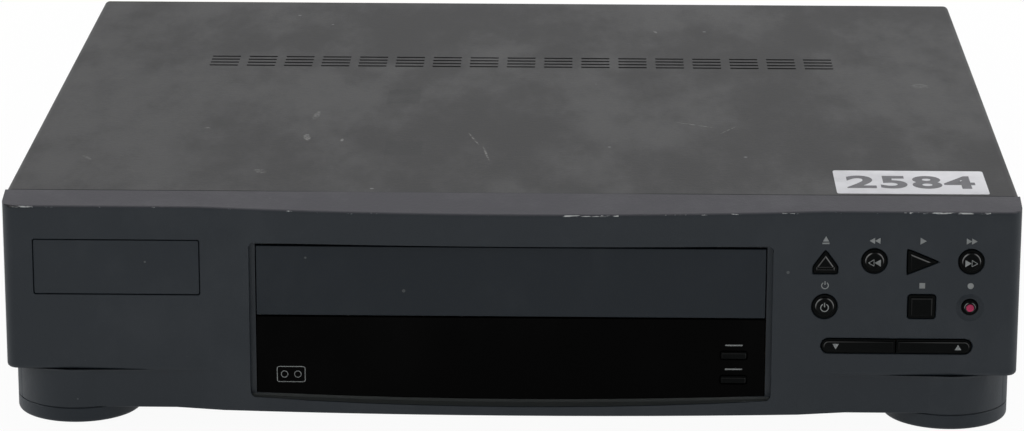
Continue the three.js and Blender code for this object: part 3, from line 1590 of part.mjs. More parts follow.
function tapeParts() {
  const aluminium = turnedAluminium();
  const white = whitePlastic();
  const hub = TAPE.hubSpacing / 2;
  const pinchAngle = THREE.MathUtils.degToRad(PINCH.rest);
  const rollerPlace = beside(new THREE.Vector2(PINCH.x, PINCH.y), PINCH.reach, pinchAngle);
  const swung = stoodAt(piece("pinch_arm", pinchArm(), zincSteel()), [PINCH.x, PINCH.y]);
  swung.rotation.z = pinchAngle;
  return [
    piece("drum_base", drumBase(), aluminium),
    leaning(piece("lower_drum", lowerDrum(), aluminium), piece("upper_drum", upperDrum(), aluminium)),
    stoodAt(piece("supply_reel_table", reelTable(), white), [-hub, REEL_Y]),
    stoodAt(piece("take_up_reel_table", reelTable(), white), [hub, REEL_Y]),
    stoodAt(piece("idler_arm", idlerArm(), zincSteel()), [0, IDLER.y]),
    stoodAt(piece("idler_wheel", idlerWheel(), white), [0, IDLER.y - IDLER.arm]),
    stoodAt(piece("capstan", capstan(), polishedSteel()), [CAPSTAN.x, CAPSTAN.y]),
    swung,
    stoodAt(piece("pinch_roller", pinchRoller(), rollerRubber()), rollerPlace.toArray()),
    stoodAt(piece("sound_head", tapeHead(), polishedSteel()), [SOUND_HEAD.x, SOUND_HEAD.y]),
    stoodAt(
      piece("erase_head", tapeHead(), polishedSteel()),
      [PINION_CENTRE.x + ERASE_HEAD.fromMotorX, PINION_CENTRE.y + ERASE_HEAD.fromMotorY],
    ),
  ];
}

function loadingParts() {
  const white = whitePlastic();
  return [
    stoodAt(piece("loading_arm_left", loadingArm(-1, LEFT_PHASE), white), LEFT_PIVOT.toArray()),
    stoodAt(piece("loading_arm_right", loadingArm(1, RIGHT_PHASE), white), RIGHT_PIVOT.toArray()),
    stoodAt(piece("cam_gear", camGear(), white), CAM_CENTRE.toArray()),
    stoodAt(piece("motor_pinion", motorPinion(), white), PINION_CENTRE.toArray()),
    stoodAt(piece("loading_motor", loadingMotor(), zincSteel()), PINION_CENTRE.toArray()),
  ];
}

const recorder = new THREE.Group();
recorder.add(
  ...caseParts(),
  ...keyParts(),
  ...boardParts(),
  ...liftParts(),
  ...tapeParts(),
  ...loadingParts(),
);
recorder.position.y = (BOW.rise - DEPTH) / 2;

// The footprint's middle is the part's zero.
const part = new THREE.Group();
part.name = "cassette_recorder";
part.add(recorder);

export default part;
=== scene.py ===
"""Surfaces, finishes and studio for a front-loading cassette recorder.

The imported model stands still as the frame. Every visible shell is made again here as a smooth
surface in the same place, and the pieces inside the case keep their shapes and get finishes.
Lengths in tables are millimetres in the maker's own frame: x across from the middle, y back from
the flat of the front, z up from the floor. put() carries them into the frame, in metres.
"""

import math
from functools import partial, reduce

import bmesh
import bpy
import numpy as np
from bpy.props import FloatProperty, FloatVectorProperty, IntProperty, PointerProperty
from mathutils import Matrix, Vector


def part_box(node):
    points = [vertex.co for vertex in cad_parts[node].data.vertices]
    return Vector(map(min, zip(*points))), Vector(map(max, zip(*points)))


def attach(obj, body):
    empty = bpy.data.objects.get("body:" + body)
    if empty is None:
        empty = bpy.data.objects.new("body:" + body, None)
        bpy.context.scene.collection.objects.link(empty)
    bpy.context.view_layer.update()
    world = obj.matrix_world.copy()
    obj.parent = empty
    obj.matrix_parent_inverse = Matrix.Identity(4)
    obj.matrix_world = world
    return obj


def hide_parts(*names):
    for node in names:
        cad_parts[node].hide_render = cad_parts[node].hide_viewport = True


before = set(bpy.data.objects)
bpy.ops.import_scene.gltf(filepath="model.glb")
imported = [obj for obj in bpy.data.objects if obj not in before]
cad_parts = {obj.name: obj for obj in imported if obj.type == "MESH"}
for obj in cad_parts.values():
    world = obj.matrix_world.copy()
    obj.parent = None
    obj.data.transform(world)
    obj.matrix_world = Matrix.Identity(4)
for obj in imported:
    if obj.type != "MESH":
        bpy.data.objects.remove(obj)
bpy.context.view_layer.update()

bl_info = {
    "name": "Cassette recorder",
    "version": (1, 0, 0),
    "blender": (4, 5, 0),
    "location": "View3D > Sidebar > Recorder",
    "description": "Makes the shells, keys, marks and finishes of a cassette recorder",
    "category": "Object",
}

MM = 0.001
CASE = "case"
SIDES = ("left", "right")

# Main sizes of the case: the cover starts at the seam, and the strip before it slopes to the
# arris. Then the flap's opening, and the front's bow: half its width, its rise and where it fades
SEAM = 13.3
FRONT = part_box("top_cover")[0].y / MM - SEAM
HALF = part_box("top_cover")[1].x / MM
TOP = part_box("top_cover")[1].z / MM
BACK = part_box("top_cover")[1].y / MM - FRONT
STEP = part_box("top_cover")[0].z / MM
ARRIS = TOP - 2.7
SLOPE = (TOP - ARRIS) / SEAM
OPENING_HALF = 95.6
OPENING_TOP = 73
BOW_HALF = 117
BOW_RISE = 4.5
BOW_FADES = 127
WINDOW_FACE = 0.3
BOARD_THICK = 1.6


# Settings


def shade(red, green, blue):
    """Turns a screen colour of 0 to 255 into the linear colour that a shader takes."""
    part = np.array([red, green, blue]) / 255
    line = np.where(part <= 0.04045, part / 12.92, ((part + 0.055) / 1.055) ** 2.4)
    return (*line.tolist(), 1.0)


def colour(name, red, green, blue):
    """A colour setting whose default is a screen colour."""
    about = f"Colour of the {name.lower()}"
    kind = {"subtype": "COLOR", "size": 4, "min": 0, "max": 1}
    return FloatVectorProperty(name=name, description=about, default=shade(red, green, blue), **kind)


def amount(name, about, default, **kind):
    """A number setting that is never below nothing."""
    return FloatProperty(name=name, description=about, default=default, min=0, **kind)


def length(name, about, millimetres):
    """A length setting, given in millimetres and kept in metres."""
    return amount(name, about, millimetres * MM, unit="LENGTH", subtype="DISTANCE", precision=5)


class RecorderColours(bpy.types.PropertyGroup):
    """Colours of the finishes."""

    cover: colour("Cover paint", 46, 46, 47)
    cover_rubbed: colour("Rubbed cover paint", 57, 57, 58)
    fascia: colour("Fascia plastic", 24, 32, 39)
    fascia_worn: colour("Bare plastic at worn edges", 205, 208, 208)
    # Painted sheen: a lighter colour laid on the sloping top strip in place of its sheen
    painted_light: colour("Painted sheen on the top strip", 56, 54, 61)
    flap: colour("Flap plastic", 20, 28, 35)
    window: colour("Smoked window", 4, 4, 4)
    key: colour("Key plastic", 8, 10, 10)
    print_ink: colour("Printed marks", 164, 168, 168)
    record_ink: colour("Record mark", 206, 62, 108)
    label: colour("Label paper", 222, 222, 226)
    label_ink: colour("Label digits", 98, 98, 102)
    rubber: colour("Foot rubber", 20, 20, 20)
    laminate: colour("Board laminate", 138, 106, 58)
    brass: colour("Contact metal", 196, 164, 96)


class RecorderSizes(bpy.types.PropertyGroup):
    """Sizes of the finishing details."""

    arris: length("Arris radius", "Rounding of the long front edges", 1.1)
    edge: length("Edge radius", "Rounding of moulded edges", 0.35)
    sheet_edge: length("Sheet edge radius", "Rounding of cut sheet edges", 0.15)
    ring: length("Key ring", "Width of the low ring round the face of a key", 0.95)
    ring_step: length("Key ring depth", "How far the ring lies behind the face", 0.85)
    key_bend: length("Key rounding", "Rounding of the edge of a key's face", 0.8)
    dish: length("Key dish", "Depth of the hollow in a round key", 0.35)
    print_thickness: length("Print thickness", "Thickness of printed marks", 0.04)
    smooth_angle: amount(
        "Smooth angle",
        "Edges that turn less than this are shaded smooth",
        math.radians(32),
        subtype="ANGLE",
    )


class RecorderStage(bpy.types.PropertyGroup):
    """Floor, light and camera."""

    floor_radius: length("Floor radius", "Radius of the studio floor", 7000)
    focal: amount(
        "Focal length",
        "Focal length of the camera in millimetres",
        140.625,
        subtype="DISTANCE_CAMERA",
    )
    top_power: amount("Top light", "Power of the soft light overhead", 27, unit="POWER")
    front_power: amount("Front light", "Power of the soft light in front", 3.5, unit="POWER")
    rear_power: amount("Rear light", "Power of the soft light behind", 2, unit="POWER")
    side_power: amount("Side lights", "Power of each tall soft light at the sides", 9, unit="POWER")
    surround: amount("Surround", "Strength of the even light from all round", 0.2)
    ceiling: amount("Ceiling", "How bright the ceiling shows in glossy pieces", 0.25)
    floor_white: amount(
        "Floor white",
        "Share of plain white in the floor beside the object, as the camera sees it",
        0.95,
        max=1,
        subtype="FACTOR",
    )
    rounding: IntProperty(
        name="Round steps",
        description="Steps round a full circle on round pieces",
        default=64,
        min=12,
    )


def colours():
    """The colours in use."""
    return bpy.context.scene.recorder_colours


def sizes():
    """The sizes in use."""
    return bpy.context.scene.recorder_sizes


def studio():
    """The stage settings in use."""
    return bpy.context.scene.recorder_stage


# Places and meshes


def put(points):
    """Points in millimetres from the front, as metres in the frame: y gains the front's place."""
    return (np.asarray(points, float) + np.array([0.0, FRONT, 0.0])) * MM


def span(node):
    """A CAD piece's low corner, high corner and middle, in millimetres from the front."""
    low, high = (np.array(corner, float) / MM - [0, FRONT, 0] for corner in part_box(node))
    return low, high, (low + high) / 2


def placed(name, data):
    """A new object at the origin of the scene."""
    piece = bpy.data.objects.new(name, data)
    bpy.context.scene.collection.objects.link(piece)
    return piece


def mesh_object(name, points, faces):
    """An object at the origin from points in millimetres and faces as lists of indices."""
    mesh = bpy.data.meshes.new(name)
    mesh.from_pydata(put(points).tolist(), [], [list(map(int, f)) for f in faces])
    return placed(name, mesh)


def read(values, name):
    """One property of all points, as rows of three numbers."""
    numbers = np.empty(len(values) * 3)
    values.foreach_get(name, numbers)
    return numbers.reshape(-1, 3)


def evaluated(piece):
    """A mesh of the piece as it stands, with its modifiers carried out."""
    bpy.context.view_layer.update()
    graph = bpy.context.evaluated_depsgraph_get()
    return bpy.data.meshes.new_from_object(piece.evaluated_get(graph))


def keep_smooth(work, mesh):
    """Shades every face smooth but splits the shading at edges that turn more than the smooth
    angle, and writes the mesh."""
    work.normal_update()
    for face in work.faces:
        face.smooth = True
    for edge in work.edges:
        edge.smooth = edge.calc_face_angle(0.0) <= sizes().smooth_angle
    work.to_mesh(mesh)
    work.free()


def close_up(piece, merge=0.0):
    """Merges doubles, turns every face outwards and shades shallow edges smooth."""
    work = bmesh.new()
    work.from_mesh(piece.data)
    if merge:
        bmesh.ops.remove_doubles(work, verts=work.verts, dist=merge)
    bmesh.ops.recalc_face_normals(work, faces=work.faces)
    keep_smooth(work, piece.data)
    return piece


def grid_faces(rows, columns, wrap=True):
    """Quads of a grid of rows by columns, as an array. wrap joins the last column to the first."""
    across = columns if wrap else columns - 1
    row, column = np.meshgrid(np.arange(rows - 1), np.arange(across), indexing="ij")
    after = (column + 1) % columns
    corner = [row * columns + column, row * columns + after]
    corner += [(row + 1) * columns + after, (row + 1) * columns + column]
    return np.stack(corner, -1).reshape(-1, 4)


def around(angle):
    """Cosine and sine of each angle, as points."""
    return np.stack([np.cos(angle), np.sin(angle)], 1)


def circle(radius, steps=None):
    """Points on a circle, anticlockwise: radius times cosine and sine of even angles."""
    turn = np.linspace(0, 2 * math.pi, steps or studio().rounding, endpoint=False)
    return radius * around(turn)


def rectangle(width, height, middle=(0, 0)):
    """The four corners of a rectangle, anticlockwise."""
    corners = np.array([[-1, -1], [1, -1], [1, 1], [-1, 1]]) * np.array([width, height]) / 2
    return corners + np.asarray(middle, float)


def inset(outline, distance):
    """Moves each edge of an anticlockwise outline inwards: each corner goes along the sum of its
    two edges' normals, over one plus their dot product."""
    along = np.roll(outline, -1, 0) - outline
    along /= np.linalg.norm(along, axis=1, keepdims=True)
    out = np.stack([along[:, 1], -along[:, 0]], 1)
    before = np.roll(out, 1, 0)
    share = 1 + (out * before).sum(1, keepdims=True)
    return outline - (out + before) / np.maximum(share, 0.2) * distance


def softened(corners, radius, steps=6):
    """Each corner gives way to a curve (1-t)^2 A + 2t(1-t) C + t^2 B, where C is the corner and A
    and B lie one radius from it on its two edges."""
    corners = np.asarray(corners, float)
    ways = [np.roll(corners, shift, 0) - corners for shift in (1, -1)]
    start, end = (corners + w / np.linalg.norm(w, axis=1, keepdims=True) * radius for w in ways)
    t = np.linspace(0, 1, steps)[None, :, None]
    curve = (1 - t) ** 2 * start[:, None] + 2 * t * (1 - t) * corners[:, None] + t**2 * end[:, None]
    return curve.reshape(-1, 2)


def soft_outline(corners, radius, least=0.15):
    """Gives an inset's outline: sharp corners moved in first, then softened by what is left of
    their radius."""
    corners = np.asarray(corners, float)
    return lambda margin: softened(inset(corners, margin), max(radius - margin, least))


def plain_outline(outline):
    """An outline with no inset, for flat marks."""
    return lambda margin: np.asarray(outline, float)


def rounded_rim(radius, front, steps=4):
    """Levels of a quarter-round rim, from the back: inset r(1 - sin a) at depth
    front + r(1 - cos a)."""
    angle = np.linspace(math.pi / 2, 0, steps)
    return [(radius * (1 - math.sin(a)), front + radius * (1 - math.cos(a))) for a in angle]


def slab(name, outline_at, levels, place=(0, 0), lying=False):
    """An outline in x and z carried back along y, or one in x and y carried up if it is lying:
    each level gives how far the outline is inset and how far along it lies. Both ends are
    closed. outline_at gives the outline of each inset."""
    place = np.asarray(place, float)
    axis = 2 if lying else 1
    rings = [np.insert(outline_at(margin) + place, axis, far, 1) for margin, far in levels]
    count = len(rings[0])
    faces = grid_faces(len(levels), count).tolist()
    faces += [list(range(count)), list(range(count * (len(levels) - 1), count * len(levels)))]
    return close_up(mesh_object(name, np.concatenate(rings), faces))


def turned(name, profile, centre, axis="z", steps=None):
    """A profile of radius and height turned round an axis: x = r cos a, y = r sin a, and the
    height along the axis. Ends at radius zero close into a pole."""
    ring = circle(1.0, steps)
    profile = np.asarray(profile, float)
    flat = profile[:, None, 0:1] * ring[None]
    high = np.repeat(profile[:, 1], len(ring)).reshape(len(profile), len(ring), 1)
    points = np.concatenate([flat, high], 2).reshape(-1, 3)
    if axis == "y":
        points = points[:, [0, 2, 1]]
    points = points + np.asarray(centre, float)
    piece = mesh_object(name, points, grid_faces(len(profile), len(ring)))
    return close_up(piece, merge=1e-6)


def joined(name, pieces):
    """Several pieces as one mesh, each already in its place."""
    work = bmesh.new()
    for piece in pieces:
        work.from_mesh(piece.data)
        bpy.data.objects.remove(piece)
    mesh = bpy.data.meshes.new(name)
    keep_smooth(work, mesh)
    return placed(name, mesh)


def add_rounding(piece, width, limit="ANGLE", segments=3):
    """Rounds edges by a width in metres and keeps flat faces flat in the shading."""
    rounding = piece.modifiers.new("Rounding", "BEVEL")
    rounding.width = width
    rounding.segments = segments
    rounding.limit_method = limit
    rounding.angle_limit = sizes().smooth_angle
    rounding.use_clamp_overlap = False
    rounding.harden_normals = False
    flat = piece.modifiers.new("Flat faces", "WEIGHTED_NORMAL")
    flat.keep_sharp = True
    flat.weight = 100
    return piece


def rounded_copy(name, node, width_of):
    """A CAD piece's own shape as a clean mesh whose sharp edges are rounded. width_of takes the
    middles of those edges, in millimetres from the front, and gives each its rounding."""
    merge, flat_angle = 2e-6, math.radians(0.03)
    work = bmesh.new()
    work.from_mesh(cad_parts[node].data)
    bmesh.ops.remove_doubles(work, verts=work.verts, dist=merge)
    bmesh.ops.dissolve_limit(work, angle_limit=flat_angle, verts=work.verts, edges=work.edges)
    weight = work.edges.layers.float.new("bevel_weight_edge")
    sharp = [e for e in work.edges if e.is_manifold and e.calc_face_angle() > sizes().smooth_angle]
    middles = np.array([(e.verts[0].co + e.verts[1].co) / 2 for e in sharp]).reshape(-1, 3)
    widths = width_of(middles / MM - np.array([0, FRONT, 0])) * np.ones(len(sharp))
    widest = float(widths.max(initial=1e-9))
    for edge, width in zip(sharp, widths / widest):
        edge[weight] = width
    mesh = bpy.data.meshes.new(name)
    keep_smooth(work, mesh)
    return add_rounding(placed(name, mesh), widest, "WEIGHT")


def finish_piece(piece, finish, body, slot, *nodes):
    """Gives a piece its finish and its body, and hides the CAD nodes that it stands for. The slot is
    not used.
    """
    piece.data.materials.clear()
    piece.data.materials.append(material(finish))
    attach(piece, body)
    if nodes:
        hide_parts(*nodes)
    return piece


def rounded_piece(name, node, share, finish, slot, body=CASE):
    """A finished copy of a CAD piece, rounded by a share of the moulded edges' radius."""
    width = sizes().edge * share
    return finish_piece(rounded_copy(name, node, lambda middles: width), finish, body, slot, node)


# Shader effects


def feed(socket, value):
    """Links an input to another node's output, or sets it to a plain value."""
    if isinstance(value, bpy.types.NodeSocket):
        socket.id_data.links.new(value, socket)
    else:
        socket.default_value = value


class Wiring:
    """Adds nodes to one shader tree. Each function takes outputs or plain values, and gives the
    output of the node that it adds."""

    def __init__(self, tree):
        self.tree = tree

    def add(self, kind, values=(), output=0, **settings):
        """Any node, with its settings, and its inputs by name or number."""
        node = self.tree.nodes.new("ShaderNode" + kind)
        for name, value in settings.items():
            setattr(node, name, value)
        for name, value in dict(values).items():
            feed(node.inputs[name], value)
        return node.outputs[output]

    def maths(self, operation, *values, clamp=False):
        """A sum on one or two values."""
        return self.add("Math", enumerate(values), operation=operation, use_clamp=clamp)

    def chain(self, operation, values):
        """The same sum on any number of values, two at a time."""
        return reduce(lambda first, second: self.maths(operation, first, second), values)

    def plus(self, *values):
        """All values added."""
        return self.chain("ADD", values)

    def times(self, *values):
        """All values multiplied."""
        return self.chain("MULTIPLY", values)

    def most(self, *values):
        """The greatest of the values."""
        return self.chain("MAXIMUM", values)

    def minus(self, first, second, clamp=False):
        """The first value less the second."""
        return self.maths("SUBTRACT", first, second, clamp=clamp)

    def below(self, first, second):
        """One where the first value is less than the second, and nothing elsewhere."""
        return self.maths("LESS_THAN", first, second)

    def size(self, value):
        """The value without its sign."""
        return self.maths("ABSOLUTE", value)

    def spread(self, value, low, high, to_low=0.0, to_high=1.0):
        """Carries a value from one range to another, smoothly and within its ends."""
        ends = {"From Min": low, "From Max": high, "To Min": to_low, "To Max": to_high}
        return self.add("MapRange", {"Value": value, **ends}, interpolation_type="SMOOTHSTEP")

    def mix(self, share, first, second):
        """Mixes two colours by a share."""
        return self.add("Mix", {0: share, 6: first, 7: second}, 2, data_type="RGBA")

    def over(self, base, mask, share, top):
        """Lays a colour over another by a share of a mask."""
        return self.mix(self.times(mask, share), base, top)

    def place(self):
        """The object's own coordinates."""
        return self.add("TexCoord", output="Object")

    def noise(self, vector, scale, detail=2.0, roughness=0.5):
        """A noise field."""
        values = {"Vector": vector, "Scale": scale, "Detail": detail, "Roughness": roughness}
        return self.add("TexNoise", values)

    def mapped(self, vector, scale=(1, 1, 1), turn=(0, 0, 0), shift=(0, 0, 0), kind="POINT"):
        """Coordinates scaled, turned and shifted, or the other way about for a kind of TEXTURE."""
        values = {"Vector": vector, "Scale": scale, "Rotation": turn, "Location": shift}
        return self.add("Mapping", values, vector_type=kind)

    def distance(self, vector):
        """How long a vector is."""
        return self.add("VectorMath", {0: vector}, "Value", operation="LENGTH")

    def axes(self, vector):
        """A vector's three parts."""
        return self.add("SeparateXYZ", {0: vector}).node.outputs

    def effect(self, name, **values):
        """Places one of the shared effects, which is made the first time, and gives its first
        output."""
        if name not in GROUPS:
            GROUPS[name] = shared_group(*EFFECTS[name])
        return self.add("Group", values, node_tree=GROUPS[name])

    def blend(self, share, first, second):
        """Mixes two shaders by a share."""
        return self.add("MixShader", {0: share, 1: first, 2: second})


def shared_group(name, maker, inputs, outputs):
    """A shader group with named sockets. Its maker turns the object's coordinates and the group's
    inputs into its outputs."""
    tree = bpy.data.node_groups.new(name, "ShaderNodeTree")
    for label, default in inputs.items():
        socket = tree.interface.new_socket(label, in_out="INPUT", socket_type="NodeSocketFloat")
        socket.default_value = default
    for label in outputs:
        tree.interface.new_socket(label, in_out="OUTPUT", socket_type="NodeSocketFloat")
    start = tree.nodes.new("NodeGroupInput")
    end = tree.nodes.new("NodeGroupOutput")
    w = Wiring(tree)
    for socket, result in zip(end.inputs, maker(w, w.place(), start.outputs)):
        feed(socket, result)
    return tree


def moulded_grain(w, place, given):
    """Spark-eroded mould texture: two fine noises, as a height."""
    fine = w.noise(place, given["Scale"], 2, 0.6)
    coarse = w.noise(place, w.times(given["Scale"], 0.31), 1)
    return [w.plus(fine, w.times(coarse, 0.8))]


# Noises of a soft effect: stretch, turn, shift, share of the scale, detail, roughness and share
SMUDGE_NOISES = (
    ((1, 1.7, 1), 0.3, (0, 0, 0), 1.0, 5, 0.55, 0.68),
    ((1.6, 1, 1), -0.5, (3, 1, 2), 2.7, 4, 0.6, 0.32),
)
MOTTLE_NOISES = (
    ((1, 0.5, 1), 0.2, (0, 0, 0), 1.0, 4, 0.5, 0.6),
    ((1, 0.4, 1), -0.15, (2, 1, 0), 4.6, 5, 0.62, 0.4),
)


def layered(w, place, scale, noises):
    """The sum of noises on turned and stretched coordinates, each by its share."""
    layers = []
    for stretch, turn, shift, finer, detail, roughness, share in noises:
        vector = w.mapped(place, stretch, (0, 0, turn), shift)
        own_scale = w.times(scale, finer) if finer > 1 else scale
        layers.append(w.times(w.noise(vector, own_scale, detail, roughness), share))
    return w.plus(*layers)


def smudges(w, place, given):
    """Soft patches where a surface was handled."""
    return [w.spread(layered(w, place, given["Scale"], SMUDGE_NOISES), given["Low"], given["High"])]


def mottle(w, place, given):
    """Uneven paint: broad clouds and finer patches, both longer from front to back than across."""
    return [w.spread(layered(w, place, given["Scale"], MOTTLE_NOISES), 0.37, 0.63)]


# Places on the cover: across, back from the front, width, depth, turn in degrees and strength
SCUFFS = [
    (-82.2, 93.1, 3.4, 12.0, 8, 1.0),
    (-80.6, 127.7, 3.0, 16.0, -6, 0.4),
    (-68.1, 88.8, 1.6, 5.0, 0, 0.8),
    (-16.4, 92.0, 1.1, 22.0, 14, 0.7),
    (-11.0, 70.0, 1.1, 26.0, 8, 0.8),
    (-96.6, 41.9, 5.0, 8.0, 30, 0.35),
    (-122.8, 105.9, 3.0, 3.5, 0, 0.5),
    (71.1, 115.9, 1.0, 20.0, 62, 0.6),
    (84.0, 108.0, 0.8, 16.0, -30, 0.4),
    (166.0, 182.0, 8.0, 10.0, 20, 0.3),
    (57.5, 276.3, 1.6, 6.0, 15, 0.5),
    (-165.0, 60.0, 2.0, 9.0, 35, 0.35),
]
DULL_SQUARES = [(-46.8, 158.9, 14.0, 24.0, 0, 1.0), (-43.4, 77.4, 15.0, 22.0, 0, 0.8)]
# How far above and below the cover a mark reaches, and where its fade starts, of the way out
MARK_REACH = 3
ROUND_FADE, SQUARE_FADE = 0.55, 0.93


def placed_marks(w, place, table, is_round):
    """Marks at given places on the cover: in each mark's own turned and stretched coordinates the
    distance from its middle, or the longest of its sides, fades from its strength to nothing."""
    marks = []
    for x, y, width, depth, turn, strength in table:
        stretch = (width / 2 * MM, depth / 2 * MM, MARK_REACH * MM)
        middle = put([x, y, TOP]).tolist()
        own = w.mapped(place, stretch, (0, 0, math.radians(turn)), middle, "TEXTURE")
        far = w.distance(own) if is_round else w.most(*map(w.size, w.axes(own)))
        marks.append(w.spread(far, ROUND_FADE if is_round else SQUARE_FADE, 1.0, strength, 0.0))
    return w.most(*marks)


def scuffs(w, place, given):
    """Whitish rubs at their places on the cover, broken up by a fine noise."""
    broken = w.spread(w.noise(place, given["Scale"], 3, 0.7), 0.42, 0.6)
    return [w.times(placed_marks(w, place, SCUFFS, True), broken)]


def dull_squares(w, place, given):
    """Two squares where the paint stayed dull."""
    return [w.times(placed_marks(w, place, DULL_SQUARES, False), given["Strength"])]


# The directions of the hairlines, and a hairline's length and its width both ways
SCRATCH_TURNS = ((0.2, 0.5, 0.4), (0.3, -0.6, -0.8), (0.1, 1.1, 1.3), (0.4, 0.1, 2.2))
SCRATCH = (9.0, 0.32, 0.32)


def scratches(w, place, given):
    """Short hairlines: noises drawn out in four directions, where the place is turned first and
    then divided by a hairline's sizes, kept where they are highest and inside the patches of a
    broad noise."""
    lines = []
    for number, turn in enumerate(SCRATCH_TURNS):
        shift = (number * 0.31, number * 0.17, number * 0.07)
        drawn = w.mapped(place, [size * MM for size in SCRATCH], turn, shift, "TEXTURE")
        line = w.spread(w.noise(drawn, 1.0, 1, 0.4), given["Floor"], 0.86)
        patch = w.noise(w.mapped(place, shift=(number * 5.3, 2, 1)), 17.0, 2)
        lines.append(w.times(line, w.spread(patch, 0.5, 0.62)))
    return [w.most(*lines)]


def dust(w, place, given):
    """Specks: cells whose centre lies nearer than a size, kept where the cell's own random
    number is low."""
    cells = w.add("TexVoronoi", {"Vector": place, "Scale": given["Scale"]}, "Distance")
    chance = w.add("SeparateColor", {0: cells.node.outputs["Color"]})
    return [w.times(w.below(cells, given["Size"]), w.below(chance, given["Share"]))]


def front_bow(w, across):
    """The front's bow, from one in the middle to nothing: 1 - (x / half width)^2."""
    way = w.times(across, 1 / (BOW_HALF * MM))
    return w.minus(1.0, w.times(way, way), clamp=True)


# The worn stretches of the arris, from and to across, and how far behind the face and under the
# arris the chips lie
CHIPPED = ((-187, -178), (20, 40), (148, 178))
CHIP_DEPTH, CHIP_DROP = 0.6, 0.3


def arris_chips(w, place, given):
    """Chipped paint along the front arris: near its height, in worn stretches across the width,
    where a fast noise is high. The arris falls as the front bows out."""
    x, y, z = w.axes(place)
    bow = front_bow(w, x)
    front = w.below(y, w.plus(w.times(bow, -BOW_RISE * MM), (FRONT + CHIP_DEPTH) * MM))
    line = w.plus(w.times(bow, -BOW_RISE * SLOPE * MM), (ARRIS - CHIP_DROP) * MM)
    near = w.below(w.size(w.minus(z, line)), given["Reach"])
    worn = [w.times(w.below(low * MM, x), w.below(x, high * MM)) for low, high in CHIPPED]
    rough = w.noise(w.mapped(place, (0.3, 1, 2)), 700.0, 3, 0.7)
    often = w.times(w.spread(rough, 0.46, 0.54), w.most(*worn))
    return [w.times(near, front, w.most(often, w.spread(rough, 0.64, 0.7)))]


# Where the painted light on the ledge fades in behind the face, and where it fades out above the
# ledge
LEDGE_DEPTH = (0.3, 1.1)
LEDGE_HEIGHT = (12.2, 12.6)


def painted_sheen_and_ledge_light(w, place, given):
    """Painted sheen on the sloping top strip, where a point lies within a hair of the strip's plane,
    and painted light on the shaded ledge under the window, all that lies behind the bowed front
    there."""
    x, y, z = w.axes(place)
    fall = w.times(w.minus((FRONT + SEAM) * MM, y), SLOPE)
    under = w.minus(w.minus(TOP * MM, fall), z)
    strip = w.spread(under, 0.0, given["Reach"], 1.0, 0.0)
    face = w.plus(w.times(front_bow(w, x), -BOW_RISE * MM), FRONT * MM)
    behind = w.spread(w.minus(y, face), *(depth * MM for depth in LEDGE_DEPTH))
    low = w.spread(z, *(height * MM for height in LEDGE_HEIGHT), 1.0, 0.0)
    inside = w.spread(w.size(x), (OPENING_HALF + 2) * MM, (OPENING_HALF + 3) * MM, 1.0, 0.0)
    return [strip, w.times(behind, low, inside)]


def rolling_marks(w, place, given):
    """Rolling marks of sheet metal: a noise drawn out along one axis, as a value."""
    return [w.noise(w.mapped(place, (0.6, 22, 14)), given["Scale"], 3, 0.6)]


# Each shared effect: the group's name, its maker, its inputs with their defaults and its outputs
EFFECTS = {
    "grain": ("Moulded grain", moulded_grain, {"Scale": 1800.0}, ["Height"]),
    "smudges": ("Smudges", smudges, {"Scale": 9.0, "Low": 0.42, "High": 0.68}, ["Mask"]),
    "mottle": ("Mottle", mottle, {"Scale": 13.0}, ["Value"]),
    "scuffs": ("Scuffs", scuffs, {"Scale": 800.0}, ["Mask"]),
    "dull": ("Dull squares", dull_squares, {"Strength": 1.0}, ["Mask"]),
    "scratches": ("Scratches", scratches, {"Floor": 0.74}, ["Mask"]),
    "dust": ("Dust", dust, {"Scale": 420.0, "Size": 0.2, "Share": 0.12}, ["Mask"]),
    "chips": ("Arris chips", arris_chips, {"Reach": 0.0006}, ["Mask"]),
    # Painted sheen on the top strip, and painted light on the ledge under the window
    "painted_light": ("Painted sheen and ledge light", painted_sheen_and_ledge_light, {"Reach": 0.0006}, ["Mask", "Painted ledge light"]),
    "rolling": ("Rolling marks", rolling_marks, {"Scale": 60.0}, ["Value"]),
}
GROUPS = {}


# Materials


def blank_material(name, roughness, metallic=0.0, specular=0.5):
    """A material whose shader holds the plain numbers on its own sockets, its wiring and the
    shader's inputs."""
    made = bpy.data.materials.new(name)
    made.use_nodes = True
    shader = made.node_tree.nodes["Principled BSDF"].inputs
    shader["Roughness"].default_value = roughness
    shader["Metallic"].default_value = metallic
    shader["Specular IOR Level"].default_value = specular
    return made, Wiring(made.node_tree), shader


def bump(w, shader, height, strength, distance=0.0002):
    """Feeds a height to the shader's normal."""
    values = {"Strength": strength, "Distance": distance, "Height": height}
    feed(shader["Normal"], w.add("Bump", values))


def tinted(body, share, lift=0.0):
    """A colour made lighter or darker by a share."""
    return tuple(min(1.0, part * share + lift) for part in body[:3]) + (1.0,)


def cover_paint(name):
    """Dark textured paint, uneven in soft clouds, with hairlines, scuffs, dull squares and specks."""
    made, w, shader = blank_material(name, 0.55, specular=0.17)
    clouds = w.effect("mottle", Scale=13.0)
    base = w.mix(clouds, tuple(colours().cover), tuple(colours().cover_rubbed))
    base = w.mix(w.effect("dull", Strength=0.6), base, shade(38, 39, 40))
    base = w.over(base, w.effect("scratches", Floor=0.72), 0.3, shade(120, 120, 122))
    base = w.over(base, w.effect("scuffs", Scale=800.0), 0.75, shade(152, 152, 150))
    speck = w.effect("dust", Scale=190.0, Size=0.14, Share=0.012)
    feed(shader["Base Color"], w.over(base, speck, 0.45, shade(150, 150, 152)))
    feed(shader["Roughness"], w.spread(clouds, 0, 1, 0.6, 0.52))
    bump(w, shader, w.effect("grain", Scale=1500.0), 0.35)
    return made


